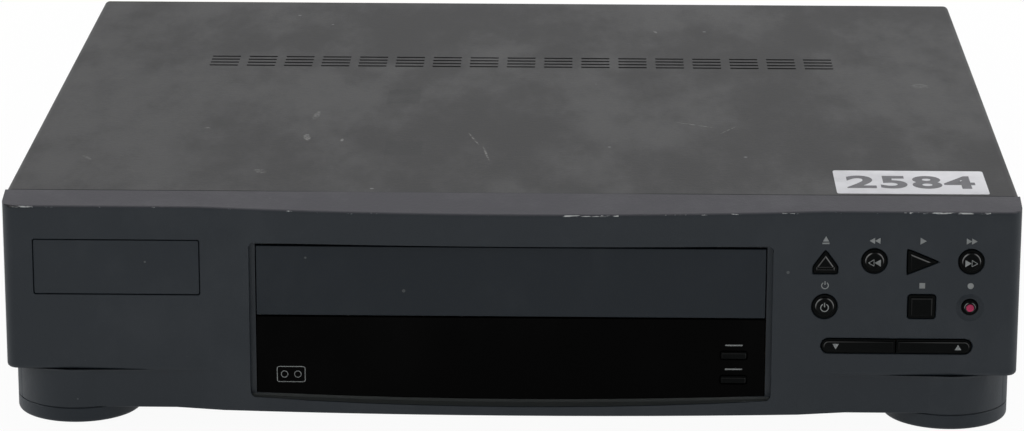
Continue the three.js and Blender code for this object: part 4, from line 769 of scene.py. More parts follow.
def moulded_plastic(name, body, roughness, chips=False, grain=0.3, specular=0.35, specks=0.006):
    """Grained plastic with faint handling marks and sparse dust. On the front it also has chipped
    edges, a painted sheen on the top strip and painted light on the ledge under the window.
    """
    made, w, shader = blank_material(name, roughness, specular=specular)
    smudge = w.effect("smudges", Scale=24.0, Low=0.4, High=0.7)
    base = w.mix(smudge, tuple(body), tinted(body, 1.16, 0.001))
    base = w.over(base, w.effect("scratches", Floor=0.76), 0.25, shade(110, 114, 114))
    speck = w.effect("dust", Scale=300.0, Size=0.2, Share=specks)
    base = w.over(base, speck, 0.35, shade(128, 130, 130))
    if chips:
        # Painted sheen: a lighter colour on the sloping top strip stands in for its sheen
        painted_light = w.effect("painted_light", Reach=0.0006)
        base = w.over(base, painted_light, 0.8, tuple(colours().painted_light))
        # Painted light: a lighter grey on the ledge under the window stands in for the light that the
        # recess shades off
        base = w.over(base, painted_light.node.outputs["Painted ledge light"], 0.8, shade(88, 92, 91))
        base = w.mix(w.effect("chips", Reach=0.00022), base, tuple(colours().fascia_worn))
    feed(shader["Base Color"], base)
    feed(shader["Roughness"], w.spread(smudge, 0, 1, roughness + 0.05, roughness - 0.06))
    bump(w, shader, w.effect("grain", Scale=2100.0), grain)
    return made


def glossy_plastic(name, body, roughness, specular=0.25, specks=0.02, polished=False):
    """Smooth plastic with wiped smears and a few dust grains. Where a piece carries the polish of
    its edges, a clear gloss lies on those."""
    made, w, shader = blank_material(name, roughness, specular=specular)
    smear = w.effect("smudges", Scale=14.0, Low=0.45, High=0.75)
    speck = w.effect("dust", Scale=260.0, Size=0.16, Share=specks)
    base = w.mix(smear, tuple(body), tinted(body, 1.6, 0.001))
    feed(shader["Base Color"], w.over(base, speck, 0.3, shade(120, 120, 120)))
    feed(shader["Roughness"], w.spread(smear, 0, 1, roughness, roughness + 0.12))
    if polished:
        feed(shader["Coat Weight"], w.add("Attribute", output="Fac", attribute_name="polish"))
        shader["Coat Roughness"].default_value = 0.12
        shader["Coat IOR"].default_value = 2.3
    return made


def plain_metal(name, body, roughness, scale=60.0):
    """Plated or turned metal: rolling or turning marks in its gloss, and dull patches."""
    made, w, shader = blank_material(name, roughness, metallic=1.0)
    marks = w.effect("rolling", Scale=scale)
    patch = w.effect("smudges", Scale=22.0, Low=0.4, High=0.7)
    feed(shader["Base Color"], w.mix(patch, tuple(body), tinted(body, 0.8)))
    feed(shader["Roughness"], w.spread(marks, 0.3, 0.7, roughness - 0.06, roughness + 0.1))
    bump(w, shader, marks, 0.08)
    return made


def rubber(name, body, roughness=0.85):
    """Matt rubber with bloom and fine grain."""
    made, w, shader = blank_material(name, roughness, specular=0.3)
    bloom = w.effect("smudges", Scale=40.0, Low=0.4, High=0.7)
    feed(shader["Base Color"], w.mix(bloom, tuple(body), shade(44, 44, 44)))
    bump(w, shader, w.effect("grain", Scale=2600.0), 0.4)
    return made


def board_laminate(name, sleeves=None):
    """Paper laminate with mottled fibres under its lacquer. Above the height of sleeves, in metres,
    it is the dark colour of the sleeves round the capacitors that stand on a board."""
    made, w, shader = blank_material(name, 0.45)
    fibre = w.effect("rolling", Scale=35.0)
    patch = w.effect("smudges", Scale=60.0, Low=0.35, High=0.7)
    body = tuple(colours().laminate)
    base = w.mix(patch, body, tinted(body, 0.72))
    base = w.mix(w.spread(fibre, 0.45, 0.7, 0, 0.35), base, shade(168, 138, 88))
    if sleeves is not None:
        above = w.maths("GREATER_THAN", w.axes(w.place())["Z"], sleeves)
        base = w.mix(above, base, shade(26, 30, 48))
    feed(shader["Base Color"], base)
    bump(w, shader, fibre, 0.1)
    return made


def ink(name, body, roughness=0.55):
    """Screen-printed ink, thinner in places."""
    made, w, shader = blank_material(name, roughness, specular=0.3)
    thin = w.effect("smudges", Scale=120.0, Low=0.4, High=0.75)
    feed(shader["Base Color"], w.mix(thin, tuple(body), tinted(body, 0.72)))
    return made


def label_paper(name):
    """Coated paper with a faint grey cast and fibre."""
    made, w, shader = blank_material(name, 0.5, specular=0.3)
    soil = w.effect("smudges", Scale=28.0, Low=0.4, High=0.75)
    feed(shader["Base Color"], w.mix(soil, tuple(colours().label), shade(184, 184, 188)))
    bump(w, shader, w.effect("grain", Scale=900.0), 0.12)
    return made


def tube_glass(name):
    """The display tube: greenish glass over its grey anodes."""
    made, w, shader = blank_material(name, 0.08)
    marks = w.effect("rolling", Scale=45.0)
    feed(shader["Base Color"], w.mix(marks, shade(62, 78, 74), shade(24, 32, 30)))
    shader["Coat Weight"].default_value = 0.6
    return made


MATERIALS = {}


def material(name):
    """The finish of that name, made once."""
    hue = colours()
    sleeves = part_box("main_board")[0].z + BOARD_THICK * 1.5 * MM
    white, black = shade(206, 203, 194), shade(26, 27, 28)
    makers = {
        "cover_paint": cover_paint,
        "fascia_plastic": partial(
            moulded_plastic, body=hue.fascia, roughness=0.5, chips=True, specular=0.38
        ),
        "tray_plastic": partial(moulded_plastic, body=hue.fascia, roughness=0.6),
        "plate_plastic": partial(moulded_plastic, body=hue.fascia, roughness=0.5),
        "foot_plastic": partial(moulded_plastic, body=hue.fascia, roughness=0.55),
        "flap_plastic": partial(
            moulded_plastic, body=hue.flap, roughness=0.5, grain=0.25, specular=0.27
        ),
        "black_plastic": partial(moulded_plastic, body=black, roughness=0.48, grain=0.2),
        "white_plastic": partial(
            moulded_plastic, body=white, roughness=0.4, grain=0.08, specks=0.0
        ),
        "window_plastic": partial(
            glossy_plastic, body=hue.window, roughness=0.08, specular=0.02, specks=0.004
        ),
        "key_plastic": partial(
            glossy_plastic, body=hue.key, roughness=0.3, specular=0.04, specks=0.004, polished=True
        ),
        "foot_rubber": partial(rubber, body=hue.rubber),
        "roller_rubber": partial(rubber, body=hue.rubber, roughness=0.7),
        "zinc_steel": partial(plain_metal, body=shade(168, 170, 168), roughness=0.36),
        "polished_steel": partial(plain_metal, body=shade(205, 207, 209), roughness=0.16),
        "turned_aluminium": partial(
            plain_metal, body=shade(200, 202, 204), roughness=0.28, scale=190.0
        ),
        "contact_metal": partial(plain_metal, body=hue.brass, roughness=0.3),
        "board_laminate": board_laminate,
        "main_laminate": partial(board_laminate, sleeves=sleeves),
        "tube_glass": tube_glass,
        "label_paper": label_paper,
        "print_ink": partial(ink, body=hue.print_ink),
        "record_ink": partial(ink, body=hue.record_ink),
        "label_ink": partial(ink, body=hue.label_ink),
    }
    if name not in MATERIALS:
        MATERIALS[name] = makers[name](name)
    return MATERIALS[name]


# Shells

# The cover's vents: groups of slots across, and rows of them that start well before the back
VENT = {"groups": 17, "pitch": 15.7, "width": 11.9, "rows": 4, "row_pitch": 5.2, "depth": 1.8}
VENT_START = BACK - 119.95
SHEET = 0.8
FOLD = 2.5
# The sides of a cell: its neighbour's place in a padded grid, and the cell's two corners there
CELL_SIDES = (((0, 1), (0, 1)), ((2, 1), (3, 2)), ((1, 0), (0, 3)), ((1, 2), (1, 2)))


def seam_gap(x):
    """How far the cover's front edge stands off the fascia: hardly in the middle, where the sheet
    is hooked in, and half a millimetre further out."""
    hook, reach, fade = -18, 45, 40
    way = np.clip((np.abs(x - hook) - reach) / fade, 0, 1)
    return 0.08 + 0.5 * way * way * (3 - 2 * way)


def top_cover():
    """The folded sheet. Its section is a path u up one side, round a fold, across and down, and it
    is carried back along v. The outer surface is that path and the inner one lies a sheet's
    thickness along its normal. Cells of the grid that fall in a vent are left open, and every
    open side is closed from the outer surface to the inner one."""
    vent = np.arange(VENT["groups"]) - (VENT["groups"] - 1) / 2
    left = vent * VENT["pitch"] - VENT["width"] / 2
    breaks = np.sort(np.concatenate([left, left + VENT["width"]]))
    before = np.linspace(-HALF + FOLD, breaks[0], 9)[1:-1]
    across = np.concatenate([before, breaks, np.linspace(breaks[-1], HALF - FOLD, 9)[1:-1]])
    fold = around(np.linspace(math.pi, math.pi / 2, 10))
    side = np.linspace(STEP, TOP - FOLD, 8)[:-1]
    flat = np.ones(len(across))
    mirror = np.array([-1.0, 1.0])
    path = [np.stack([np.full(len(side), -HALF), side], 1)]
    path += [fold * FOLD + [FOLD - HALF, TOP - FOLD], np.stack([across, flat * TOP], 1)]
    path += [part[::-1] * mirror for part in path[1::-1]]
    out = [np.tile([-1.0, 0.0], (len(side), 1)), fold, np.stack([flat * 0, flat], 1)]
    out += [part[::-1] * mirror for part in out[1::-1]]
    path, out = np.concatenate(path), np.concatenate(out)
    rows = VENT_START + np.arange(VENT["rows"]) * VENT["row_pitch"]
    depth = [np.linspace(SEAM, rows[0], 9)[:-1]]
    depth.append(np.sort(np.concatenate([rows, rows + VENT["depth"]])))
    depth.append(np.linspace(rows[-1] + VENT["depth"], BACK, 8)[1:])
    depth = np.concatenate(depth)
    columns = len(path)

    def surface(offset):
        """The path moved in by an offset along its normal, at every depth from the seam back."""
        line = path - out * offset
        x, z = (np.tile(line[:, i], (len(depth), 1)) for i in (0, 1))
        y = np.tile(depth[:, None], (1, columns))
        y[0] += seam_gap(path[:, 0])
        return np.stack([x, y, z], -1).reshape(-1, 3)

    middle = (path[:-1, 0] + path[1:, 0]) / 2
    along = (depth[:-1] + depth[1:]) / 2
    on_top = np.minimum(path[:-1, 1], path[1:, 1]) > TOP - 0.01
    in_group = (np.abs(middle[:, None] - vent[None] * VENT["pitch"]) < VENT["width"] / 2).any(1)
    in_row = ((along[:, None] > rows[None]) & (along[:, None] < rows[None] + VENT["depth"])).any(1)
    solid = ~(in_row[:, None] & (on_top & in_group)[None])
    quads = grid_faces(len(depth), columns, wrap=False).reshape(len(depth) - 1, columns - 1, 4)
    count = len(depth) * columns
    padded = np.pad(solid, 1)
    walls = []
    for (down, right), ends in CELL_SIDES:
        other = padded[down : down + solid.shape[0], right : right + solid.shape[1]]
        a, b = (quads[..., end][solid & ~other] for end in ends)
        walls.append(np.stack([a, b, b + count, a + count], 1))
    points = np.concatenate([surface(0.0), surface(SHEET)])
    faces = np.concatenate([quads[solid], quads[solid][:, ::-1] + count, *walls])
    piece = close_up(mesh_object("top_cover_shell", points, faces))
    return add_rounding(piece, sizes().sheet_edge, segments=2)


# The fascia's keys stand right of this place, between these heights and before this depth, and
# the edges nearer the record key's middle than this stay sharp, because its bowl covers them
KEY_FIELD = {"left": 108, "low": 25, "high": 78, "depth": 3, "bowl": 7}


def fascia_widths(middles):
    """Roundings of the fascia's edges: the long outer edges most, round the keys least, the seam
    and the inside none."""
    x, y, z = middles.T
    far = np.abs(x)
    edge, arris = sizes().edge, sizes().arris
    ahead = y < SEAM - 0.1
    width = np.full(len(middles), edge)
    width[(np.abs(z - TOP + (SEAM - y) * SLOPE) < 0.15) & ahead] = arris
    step = (np.abs(z - STEP) < 0.2) & ahead
    width[step] = np.where(far[step] > BOW_FADES, arris * 1.3, 0)
    width[(far > HALF - 5) & (z > STEP + 1) & (z < ARRIS - 1) & (y < SEAM - 1)] = 0
    keys = (x > KEY_FIELD["left"]) & (y < KEY_FIELD["depth"])
    keys &= (z > KEY_FIELD["low"]) & (z < KEY_FIELD["high"])
    width[keys] = edge * 0.3
    width[keys & (y < 0.1)] = edge * 1.2
    _, record_x, record_z, _, _ = KEYS["record"]
    width[keys & (np.hypot(x - record_x, z - record_z) < KEY_FIELD["bowl"])] = 0
    recess = (far < OPENING_HALF + 4) & (z > 8) & (z < OPENING_TOP)
    width[recess & (y > 0.9)] = 0
    width[recess & (far > OPENING_HALF - 3) & (z < 14)] = 0
    width[(y > SEAM - 0.2) | ((y > 1.5) & (z > STEP + 0.3)) | ((y > 4.6) & (z > 6.3))] = 0
    return width


# The record key's bowl: its gap round the key, the radius of its rim, its depth, how far it
# stands proud of the fascia's own hollow, and the lap and lip under its rim
BOWL = {"gap": 0.3, "rim": 5.36, "depth": 0.76, "proud": 0.015, "back": 0.79, "lap": 0.08, "lip": 0.1}


def record_bowl():
    """The smooth hollow round the record key: turned, with a depth that falls from the key to the
    rim as a quarter of a cosine."""
    _, x, z, width, _ = KEYS["record"]
    inner, rim, back = width / 2 + BOWL["gap"], BOWL["rim"], BOWL["back"]
    way = np.linspace(0, 1, 14)
    depth = BOWL["depth"] * np.cos(way * math.pi / 2) - BOWL["proud"]
    under = rim - BOWL["lap"]
    profile = [(inner, back), *zip(inner + (rim - inner) * way, depth)]
    profile += [(under, BOWL["lip"]), (under, back), (inner, back)]
    piece = turned("record_bowl", profile, (x, 0, z), axis="y")
    return finish_piece(piece, "fascia_plastic", CASE, "fascia_plastic")


def blanking_plate():
    """The plate in the fascia's left end, with softened corners and a quarter-round rim."""
    low, high, middle = span("blanking_plate")
    outline = soft_outline(rectangle(*(high - low)[[0, 2]]), 0.7)
    levels = [(0, high[1]), *rounded_rim(0.3, low[1])]
    plate = slab("blanking_plate_face", outline, levels, middle[[0, 2]])
    return finish_piece(plate, "plate_plastic", CASE, "fascia_plastic", "blanking_plate")


# Keys

# Each key: outline, across from the middle, up from the floor, and the width and height of its cap
KEYS = {
    "eject": ("roof", 117.2, 65.9, 9.0, 8.8),
    "rewind": ("round", 135.4, 66.4, 9.2, 9.2),
    "play": ("arrow", 153.4, 66.2, 11.3, 9.4),
    "forward": ("round", 171.4, 66.4, 9.2, 9.2),
    "standby": ("round", 117.2, 48.6, 9.2, 9.2),
    "stop": ("bar", 153.4, 48.8, 10.0, 9.0),
    "record": ("round", 171.4, 48.6, 5.9, 5.9),
    "channel_down": ("left end", 130.2, 33.2, 27.6, 5.4),
    "channel_up": ("right end", 158.4, 33.2, 28.0, 5.4),
    "tuning": ("bar", 83.7, 29.0, 9.7, 2.9),
    "memory": ("bar", 83.7, 19.4, 9.7, 2.9),
}
PROUD = 0.8
IN_WINDOW = ("tuning", "memory")
# How far a key's rounded edges are rubbed bright: at the top, at the left and at the right
POLISH = {
    "roof": (0.5, 0.5, 1.0),
    "round": (0.05, 1.0, 1.0),
    "arrow": (0.7, 0.05, 0.9),
    "bar": (0.15, 0.1, 0.3),
    "left end": (0.4, 0.4, 0.1),
    "right end": (0.4, 0.1, 0.4),
}
# Depth of a key's skirt on the fascia and on the window, and how far behind it its collar lies
SKIRT, WINDOW_SKIRT = 2.5, 2.3
COLLAR = [(0, 0.32), (0, 1.25), (0.05, 1.3)]
# The stem's radius, the break at its tip, and how far it stands off the middle of some keys
STEM, STEM_TIP = 1.6, 0.3
STEM_SHIFT = {"roof": (0, -1.4), "arrow": (-1.45, 0)}
# Heights over the lower edge of the eject key's cap: of its two ridges and of its eaves
RIDGES = (1.5, 2.5)
EAVES = 2.6
# The softening of a cap's corners
CORNER = 0.9


def key_outline(kind, width, height):
    """The outline of a key's cap round its own middle, for each inset: a circle, a rectangle, a
    rectangle under a ridged roof, a triangle that points right, or a bar with one round end."""
    x, z = width / 2, height / 2
    if kind == "round":
        return lambda margin: circle(x - margin)
    if kind == "bar":
        return soft_outline(rectangle(width, height), min(CORNER, height / 4))
    if kind == "roof":
        return soft_outline([(-x, -z), (x, -z), (x, EAVES - z), (0, z), (-x, EAVES - z)], CORNER)
    if kind == "arrow":
        return soft_outline([(-x, -z), (x, 0), (-x, z)], CORNER)
    side = 1 if kind == "right end" else -1
    end = around(np.linspace(-math.pi / 2, math.pi / 2, 18))

    def ended(margin):
        """A half circle on one side and a straight end on the other, all moved in by a margin."""
        radius = z - margin
        corners = [(margin - x, radius), (margin - x, -radius)]
        return side * np.concatenate([end * radius + [x - z, 0], corners])

    return ended


def key_step(kind, height):
    """The ring's width, the rounding of the face and the ring's depth, smaller on slim keys."""
    size = sizes()
    share = min(1.0, height / (8.5 if kind == "round" else 8))
    return size.ring / MM * share, size.key_bend / MM * share, size.ring_step / MM


def key_levels(kind, height, front, back, nick=0.04):
    """Inset and depth of each ring of a cap: a straight wall, a low ring between small breaks of
    the corner, a steep step, and a quarter-round that runs into the face: inset r(1 - cos a) at
    depth r(1 - sin a)."""
    ring, bend, step = key_step(kind, height)
    low = front + step
    levels = [(0.0, back), (0.0, low + 4 * nick), (3 * nick, low)]
    levels += [(ring - 2 * nick, low - nick), (ring, low - 3 * nick)]
    turn = np.linspace(0, math.pi / 2, 8)
    rise = min(bend, step - 0.2)
    return levels + list(zip(ring + bend * (1 - np.cos(turn)), front + rise * (1 - np.sin(turn))))


def dish_depth(radius, reach):
    """How far a round key's face lies behind its rim: the dish times the cosine of the way out."""
    way = np.clip(np.asarray(radius, float) / reach, 0, 1)
    return sizes().dish / MM * np.cos(way * math.pi / 2)


def face_reach(height):
    """The radius of a round key's face inside its rounding."""
    ring, bend, _ = key_step("round", height)
    return height / 2 - ring - bend


def round_key(name, place, radius, front, back):
    """A round cap turned about its own axis: the levels of any key, and a shallow dish."""
    profile = [(0.0, back)]
    profile += [(radius - m, y) for m, y in key_levels("round", radius * 2, front, back)]
    reach = face_reach(radius * 2)
    inward = np.linspace(0.96, 0, 9) * reach
    profile += list(zip(inward, front + dish_depth(inward, reach)))
    return turned(name, profile, (place[0], 0, place[1]), axis="y")


def polish_edges(piece, behind, shares):
    """Marks how far each point is rubbed bright: none where the normal faces the front or down,
    one of the three shares where it turns well up, to the left or to the right, and none behind
    a depth."""
    mesh = piece.data
    x, y, z = read(mesh.vertex_normals, "vector").T
    aside = np.clip((0.985 - np.abs(y)) / 0.12, 0, 1) * np.clip((z + 0.15) / 0.3, 0, 1)
    lean = x / np.maximum(np.hypot(x, z), 1e-6)
    up, left, right = shares
    sideways = np.clip((np.abs(lean) - 0.2) / 0.4, 0, 1)
    aside *= up + (np.where(lean > 0, right, left) - up) * sideways
    aside[read(mesh.vertices, "co")[:, 1] / MM - FRONT > behind] = 0
    polish = mesh.attributes.new("polish", "FLOAT", "POINT")
    polish.data.foreach_set("value", aside.astype(np.float32))
    return piece


def make_key(name):
    """One key: its cap, its flange and its stem, in the place of its CAD node."""
    kind, x, z, width, height = KEYS[name]
    node = name + "_button"
    inside = name in IN_WINDOW
    front = -PROUD + (WINDOW_FACE if inside else 0)
    behind = WINDOW_SKIRT if inside else SKIRT
    if kind == "round":
        cap = round_key(node + "_cap", (x, z), width / 2, front, behind + 1)
    else:
        levels = key_levels(kind, height, front, behind + 1)
        cap = slab(node + "_cap", key_outline(kind, width, height), levels, (x, z))
    low, high, middle = span(node)
    wide, _, tall = high - low
    end = high[1]
    shape = soft_outline(rectangle(wide, tall), wide / 2 if kind == "round" else 0.6)
    levels = [(margin, behind + far) for margin, far in COLLAR]
    collar = slab(node + "_collar", shape, levels, middle[[0, 2]])
    aside, down = STEM_SHIFT.get(kind, (0, 0))
    profile = [(0, behind), (STEM, behind), (STEM, end - STEM_TIP), (STEM - STEM_TIP, end), (0, end)]
    stem = turned(node + "_stem", profile, (x + aside, 0, z + down), axis="y", steps=24)
    parts = [cap, collar, stem]
    for i, rise in enumerate(RIDGES if kind == "roof" else ()):
        bar = soft_outline(rectangle(width - 2.1, 0.5), 0.2)
        levels = [(0, front + 0.3), *rounded_rim(0.2, front - 0.12)]
        parts.append(slab(f"{node}_ridge_{i}", bar, levels, (x, z - height / 2 + rise)))
    behind_ring = front + sizes().ring_step / MM * 0.8
    whole = polish_edges(joined(node + "_moulding", parts), behind_ring, POLISH[kind])
    return finish_piece(whole, "key_plastic", node + "_body", "key_plastic", node)


# Printed marks


def mark(name, outlines, front, body, finish="print_ink", place=(0, 0), fall=None):
    """Flat printed shapes as one thin piece that lies on a face. fall gives how much deeper the
    face lies at each point, in x and z."""
    levels = [(0, front + 0.02), (0, front - sizes().print_thickness / MM)]
    parts = [
        slab(f"{name}_{i}", plain_outline(outline), levels, place)
        for i, outline in enumerate(outlines)
    ]
    whole = joined(name, parts)
    if fall is not None:
        points = read(whole.data.vertices, "co")
        points[:, 1] += fall(points[:, 0] / MM, points[:, 2] / MM) * MM
        whole.data.vertices.foreach_set("co", points.ravel())
        whole.data.update()
    slot = "key_plastic" if body != CASE else "fascia_plastic"
    return finish_piece(whole, finish, body, slot)


def arrow(size, quarters=0, shift=(0, 0)):
    """A solid triangle that points right, turned by quarters anticlockwise."""
    turn = quarters * math.pi / 2
    corners = np.array([[-0.5, -0.58], [0.5, 0.0], [-0.5, 0.58]]) * size
    c, s = math.cos(turn), math.sin(turn)
    return corners @ np.array([[c, s], [-s, c]]) + np.asarray(shift, float)


def stroke(start, end, width):
    """A straight line of even width: each end goes half a width to either side."""
    path = np.array([start, end], float)
    along = (path[1] - path[0]) / np.linalg.norm(path[1] - path[0])
    out = np.array([along[1], -along[0]]) * width / 2
    return np.concatenate([path + out, (path - out)[::-1]])


def line_of(path, width, closed=False):
    """A bent line as short straight strokes, one for each step of its path."""
    path = np.concatenate([path, path[:1]]) if closed else path
    return [stroke(start, end, width) for start, end in zip(path[:-1], path[1:])]


def power_sign(radius, opening, steps, drop, bar):
    """A ring that is open at the top, and a bar in its opening: width, height and rise."""
    turn = np.radians(np.linspace(90 + opening, 450 - opening, steps))
    ring = around(turn) * radius + [0, -drop]
    return [*line_of(ring, 0.36), rectangle(bar[0], bar[1], (0, bar[2]))]


def key_signs():
    """The shapes on the key caps, with their finish."""
    rewind = [arrow(2.3, 2, (1.15, -0.5)), *line_of(arrow(2.1, 2, (-1.25, -0.5)), 0.22, True)]
    forward = [arrow(2.3, 0, (-1.15, -0.5)), *line_of(arrow(2.1, 0, (1.25, -0.5)), 0.22, True)]
    return {
        "rewind": (rewind, "print_ink"),
        "forward": (forward, "print_ink"),
        "standby": (power_sign(1.45, 26, 26, 0.3, (0.38, 1.8, 0.75)), "print_ink"),
        "record": ([circle(1.4, 32)], "record_ink"),
        "channel_down": ([arrow(2.1, -1, (-8.5, 0))], "print_ink"),
        "channel_up": ([arrow(2.1, 1, (9.0, 0))], "print_ink"),
    }


def key_marks():
    """The signs on the key caps, laid into the dishes of the round ones."""
    for name, (shapes, finish) in key_signs().items():
        kind, x, z, _, height = KEYS[name]
        reach = face_reach(height)

        def fall(across, up):
            """The dish's depth, by the distance from the key's middle."""
            return dish_depth(np.hypot(across - x, up - z), reach)

        dished = fall if kind == "round" else None
        mark(f"{name}_sign", shapes, -PROUD, f"{name}_button_body", finish, (x, z), dished)


def bow_depth(across, up):
    """How far the front stands forward at a place across, at any height: a parabola over the
    bowed middle."""
    return -BOW_RISE * np.clip(1 - (across / BOW_HALF) ** 2, 0, 1)


# Heights of the signs over the upper and the lower row of keys
UPPER_ROW, LOWER_ROW = 74.3, 57.0


def front_marks():
    """Signs printed on the fascia above the keys, in place of words."""
    signs = {
        "eject": [arrow(2.0, 1, (0, 0.6)), rectangle(2.6, 0.55, (0, -1.1))],
        "rewind": [arrow(2.0, 2, (-1.0, 0)), arrow(2.0, 2, (1.0, 0))],
        "play": [arrow(2.3)],
        "forward": [arrow(2.0, 0, (-1.0, 0)), arrow(2.0, 0, (1.0, 0))],
        "standby": power_sign(1.25, 32, 24, 0.2, (0.36, 1.4, 0.8)),
        "stop": [rectangle(2.1, 2.1)],
        "record": [circle(1.15, 28)],
    }
    outlines = []
    for name, shapes in signs.items():
        _, x, z, _, _ = KEYS[name]
        row = UPPER_ROW if z > 60 else LOWER_ROW
        outlines += [shape + np.array([x, row]) for shape in shapes]
    return mark("fascia_signs", outlines, 0.0, CASE, fall=bow_depth)


# The window's signs: the cassette with its two reels, and the bars over the keys
CASSETTE_SIGN = {"place": (-82.5, 20.3), "width": 10.5, "height": 6.0, "corner": 0.9, "reel": 1.25}
REEL_SIDES = (-2.5, 2.5)
KEY_BAR, KEY_BAR_HEIGHTS = (6.5, 0.5), (33.0, 23.6)


def window_marks():
    """A plain outline of a cassette behind the window's lower left, and two short bars above the
    window's keys."""
    sign = CASSETTE_SIGN
    outline = softened(rectangle(sign["width"], sign["height"]), sign["corner"], 5)
    shapes = line_of(outline, 0.28, True)
    reel = line_of(circle(sign["reel"], 24), 0.26, True)
    shapes += [part + np.array([side, 0]) for side in REEL_SIDES for part in reel]
    shapes = [shape + np.array(sign["place"]) for shape in shapes]
    shapes += [rectangle(*KEY_BAR, (KEYS["tuning"][1], height)) for height in KEY_BAR_HEIGHTS]
    piece = mark("window_signs", shapes, WINDOW_FACE, CASE)
    return piece


# Label

# The label is a little larger than its CAD piece, and its figures fill these shares of that piece
DIGITS = "2584"
LABEL_MARGIN, LABEL_CORNER = 0.7, 1.6
LABEL_LEVELS = [(0.0, TOP - 0.2), (0.0, TOP + 0.1), (0.05, TOP + 0.13)]
DIGIT_SHARES = (0.86, 0.56)
DIGIT_HEIGHT, DIGIT_THICK = 0.14, 0.03


def number_label():
    """The paper label, a thin plate with softened corners that lies on the cover."""
    low, high, middle = span("number_label")
    outline = softened(rectangle(*(high - low)[:2] + LABEL_MARGIN), LABEL_CORNER)
    shape = partial(inset, outline)
    paper = slab("number_label_paper", shape, LABEL_LEVELS, middle[:2], lying=True)
    return finish_piece(paper, "label_paper", CASE, "label_paper", "number_label")


def label_digits():
    """Plain wide figures printed on the label."""
    curve = bpy.data.curves.new("figures", "FONT")
    curve.body = DIGITS
    curve.align_x, curve.align_y = "CENTER", "CENTER"
    curve.offset = 0.034
    curve.extrude = 0.01
    curve.resolution_u = 8
    curve.space_character = 1.12
    text = placed("figures", curve)
    mesh = evaluated(text)
    bpy.data.objects.remove(text)
    low, high, middle = span("number_label")
    points = read(mesh.vertices, "co")
    points = (points - (points.max(0) + points.min(0)) / 2) / np.ptp(points, axis=0)
    points *= [*(high - low)[:2] * DIGIT_SHARES, DIGIT_THICK]
    points = put(points + [middle[0], middle[1], TOP + DIGIT_HEIGHT])
    mesh.vertices.foreach_set("co", points.ravel())
    mesh.update()
    return finish_piece(placed("number_label_figures", mesh), "label_ink", CASE, "label_paper")


# Feet and rear

# Radii of the feet, the rounding of their lower edge and how far inside it the flat tread ends
FRONT_FOOT, REAR_FOOT = 23.7, 15.0
FOOT_BEND, FOOT_TREAD = 1.3, 3.0
# How far in and how far under the top each ring of a foot's neck lies
FOOT_NECK = ((0, 0.55), (0.15, 0.35), (0.5, 0.25), (0.55, 0))


def foot(node, radius, finish):
    """A foot turned about its own axis: a rounded lower edge, a wall and a fine neck where it
    meets the case."""
    _, high, middle = span(node)
    inner = radius - FOOT_BEND
    bend = around(np.linspace(-math.pi / 2, 0, 7)) * FOOT_BEND + [inner, FOOT_BEND]
    profile = [(0.0, 0.0), (inner - FOOT_TREAD, 0.0), *bend]
    profile += [(radius - margin, high[2] - under) for margin, under in FOOT_NECK]
    profile.append((0.0, high[2]))
    piece = turned(node + "_pad", profile, (middle[0], middle[1], 0), steps=96)
    return finish_piece(piece, finish, CASE, finish, node)


# The screws: shank, head, and the bars that cut the cross with the inset and depth of their ends
SHANK, SHANK_LENGTH = 1.4, 8
HEAD_HEIGHT, HEAD_CROWN = 1.6, 1.2
RECESS = (3.4, 0.75)
RECESS_LEVELS = ((0.2, -1.1), (0, 0.5))


def screw(node):
    """A raised screw head with a cross recess: turned, then cut by two tapered bars. The crown
    turns nine tenths of a quarter, so that it ends in a small flat."""
    low, high, (x, _, z) = span(node)
    face, radius = high[1], (high[0] - low[0]) / 2
    turn = np.linspace(0, math.pi / 2, 8)
    crown = face - HEAD_CROWN
    profile = [(0, face - SHANK_LENGTH), (SHANK, face - SHANK_LENGTH), (SHANK, face - HEAD_HEIGHT)]
    profile += [(radius, face - HEAD_HEIGHT), (radius, crown)]
    profile += [*zip(radius * np.cos(turn * 0.9), crown + HEAD_CROWN * np.sin(turn)), (0, face)]
    head = turned(node + "_head", profile, (x, 0, z), axis="y", steps=48)
    levels = [(margin, face + far) for margin, far in RECESS_LEVELS]
    bars = [
        slab(f"{node}_cut_{i}", soft_outline(rectangle(*size), 0.15), levels, (x, z))
        for i, size in enumerate((RECESS, RECESS[::-1]))
    ]
    for bar in bars:
        hollow = head.modifiers.new("Recess", "BOOLEAN")
        hollow.operation = "DIFFERENCE"
        hollow.solver = "EXACT"
        hollow.object = bar
    head_mesh = evaluated(head)
    head.modifiers.clear()
    head.data = head_mesh
    for bar in bars:
        bpy.data.objects.remove(bar)
    work = bmesh.new()
    work.from_mesh(head_mesh)
    keep_smooth(work, head_mesh)
    return finish_piece(head, "zinc_steel", CASE, "zinc_steel", node)


# The contact blades: how many in a row, their pitch, and where each row starts, across and up
BLADES, BLADE_PITCH = 10, 3.8
BLADE_ROWS = ((-18.9, 3.1), (-17.0, -3.1))
BLADE_LEVELS = ((0.0, -0.9), (0.0, 0.05), (0.15, 0.12))


def scart_contacts(node):
    """The contact springs of a socket: two staggered rows of small rounded blades."""
    _, (_, back, _), (x, _, z) = span(node)
    places = [(x + dx + BLADE_PITCH * i, z + dz) for dx, dz in BLADE_ROWS for i in range(BLADES)]
    levels = [(margin, back + far) for margin, far in BLADE_LEVELS]
    shape = soft_outline(rectangle(1.1, 2.6), 0.3)
    blades = [slab(f"{node}_blade_{i}", shape, levels, place) for i, place in enumerate(places)]
    return finish_piece(joined(node + "_contacts", blades), "contact_metal", CASE, "zinc_steel")


# The aerial sockets: across and whether the centre is hollow, and profiles from the back
AERIALS = ((130.0, True), (156.0, False))
AERIAL_HEIGHT = 23.8
AERIAL_COLLAR = ((1.2, 6.9), (3.6, 6.9), (3.6, 5.6), (1.2, 5.6), (1.2, 6.9))
AERIAL_TIP = ((0, 6.9), (1.15, 6.9), (1.15, 0.8), (0.9, 0.3))
AERIAL_BORE = ((0.6, 0.3), (0.6, 4), (0, 4))


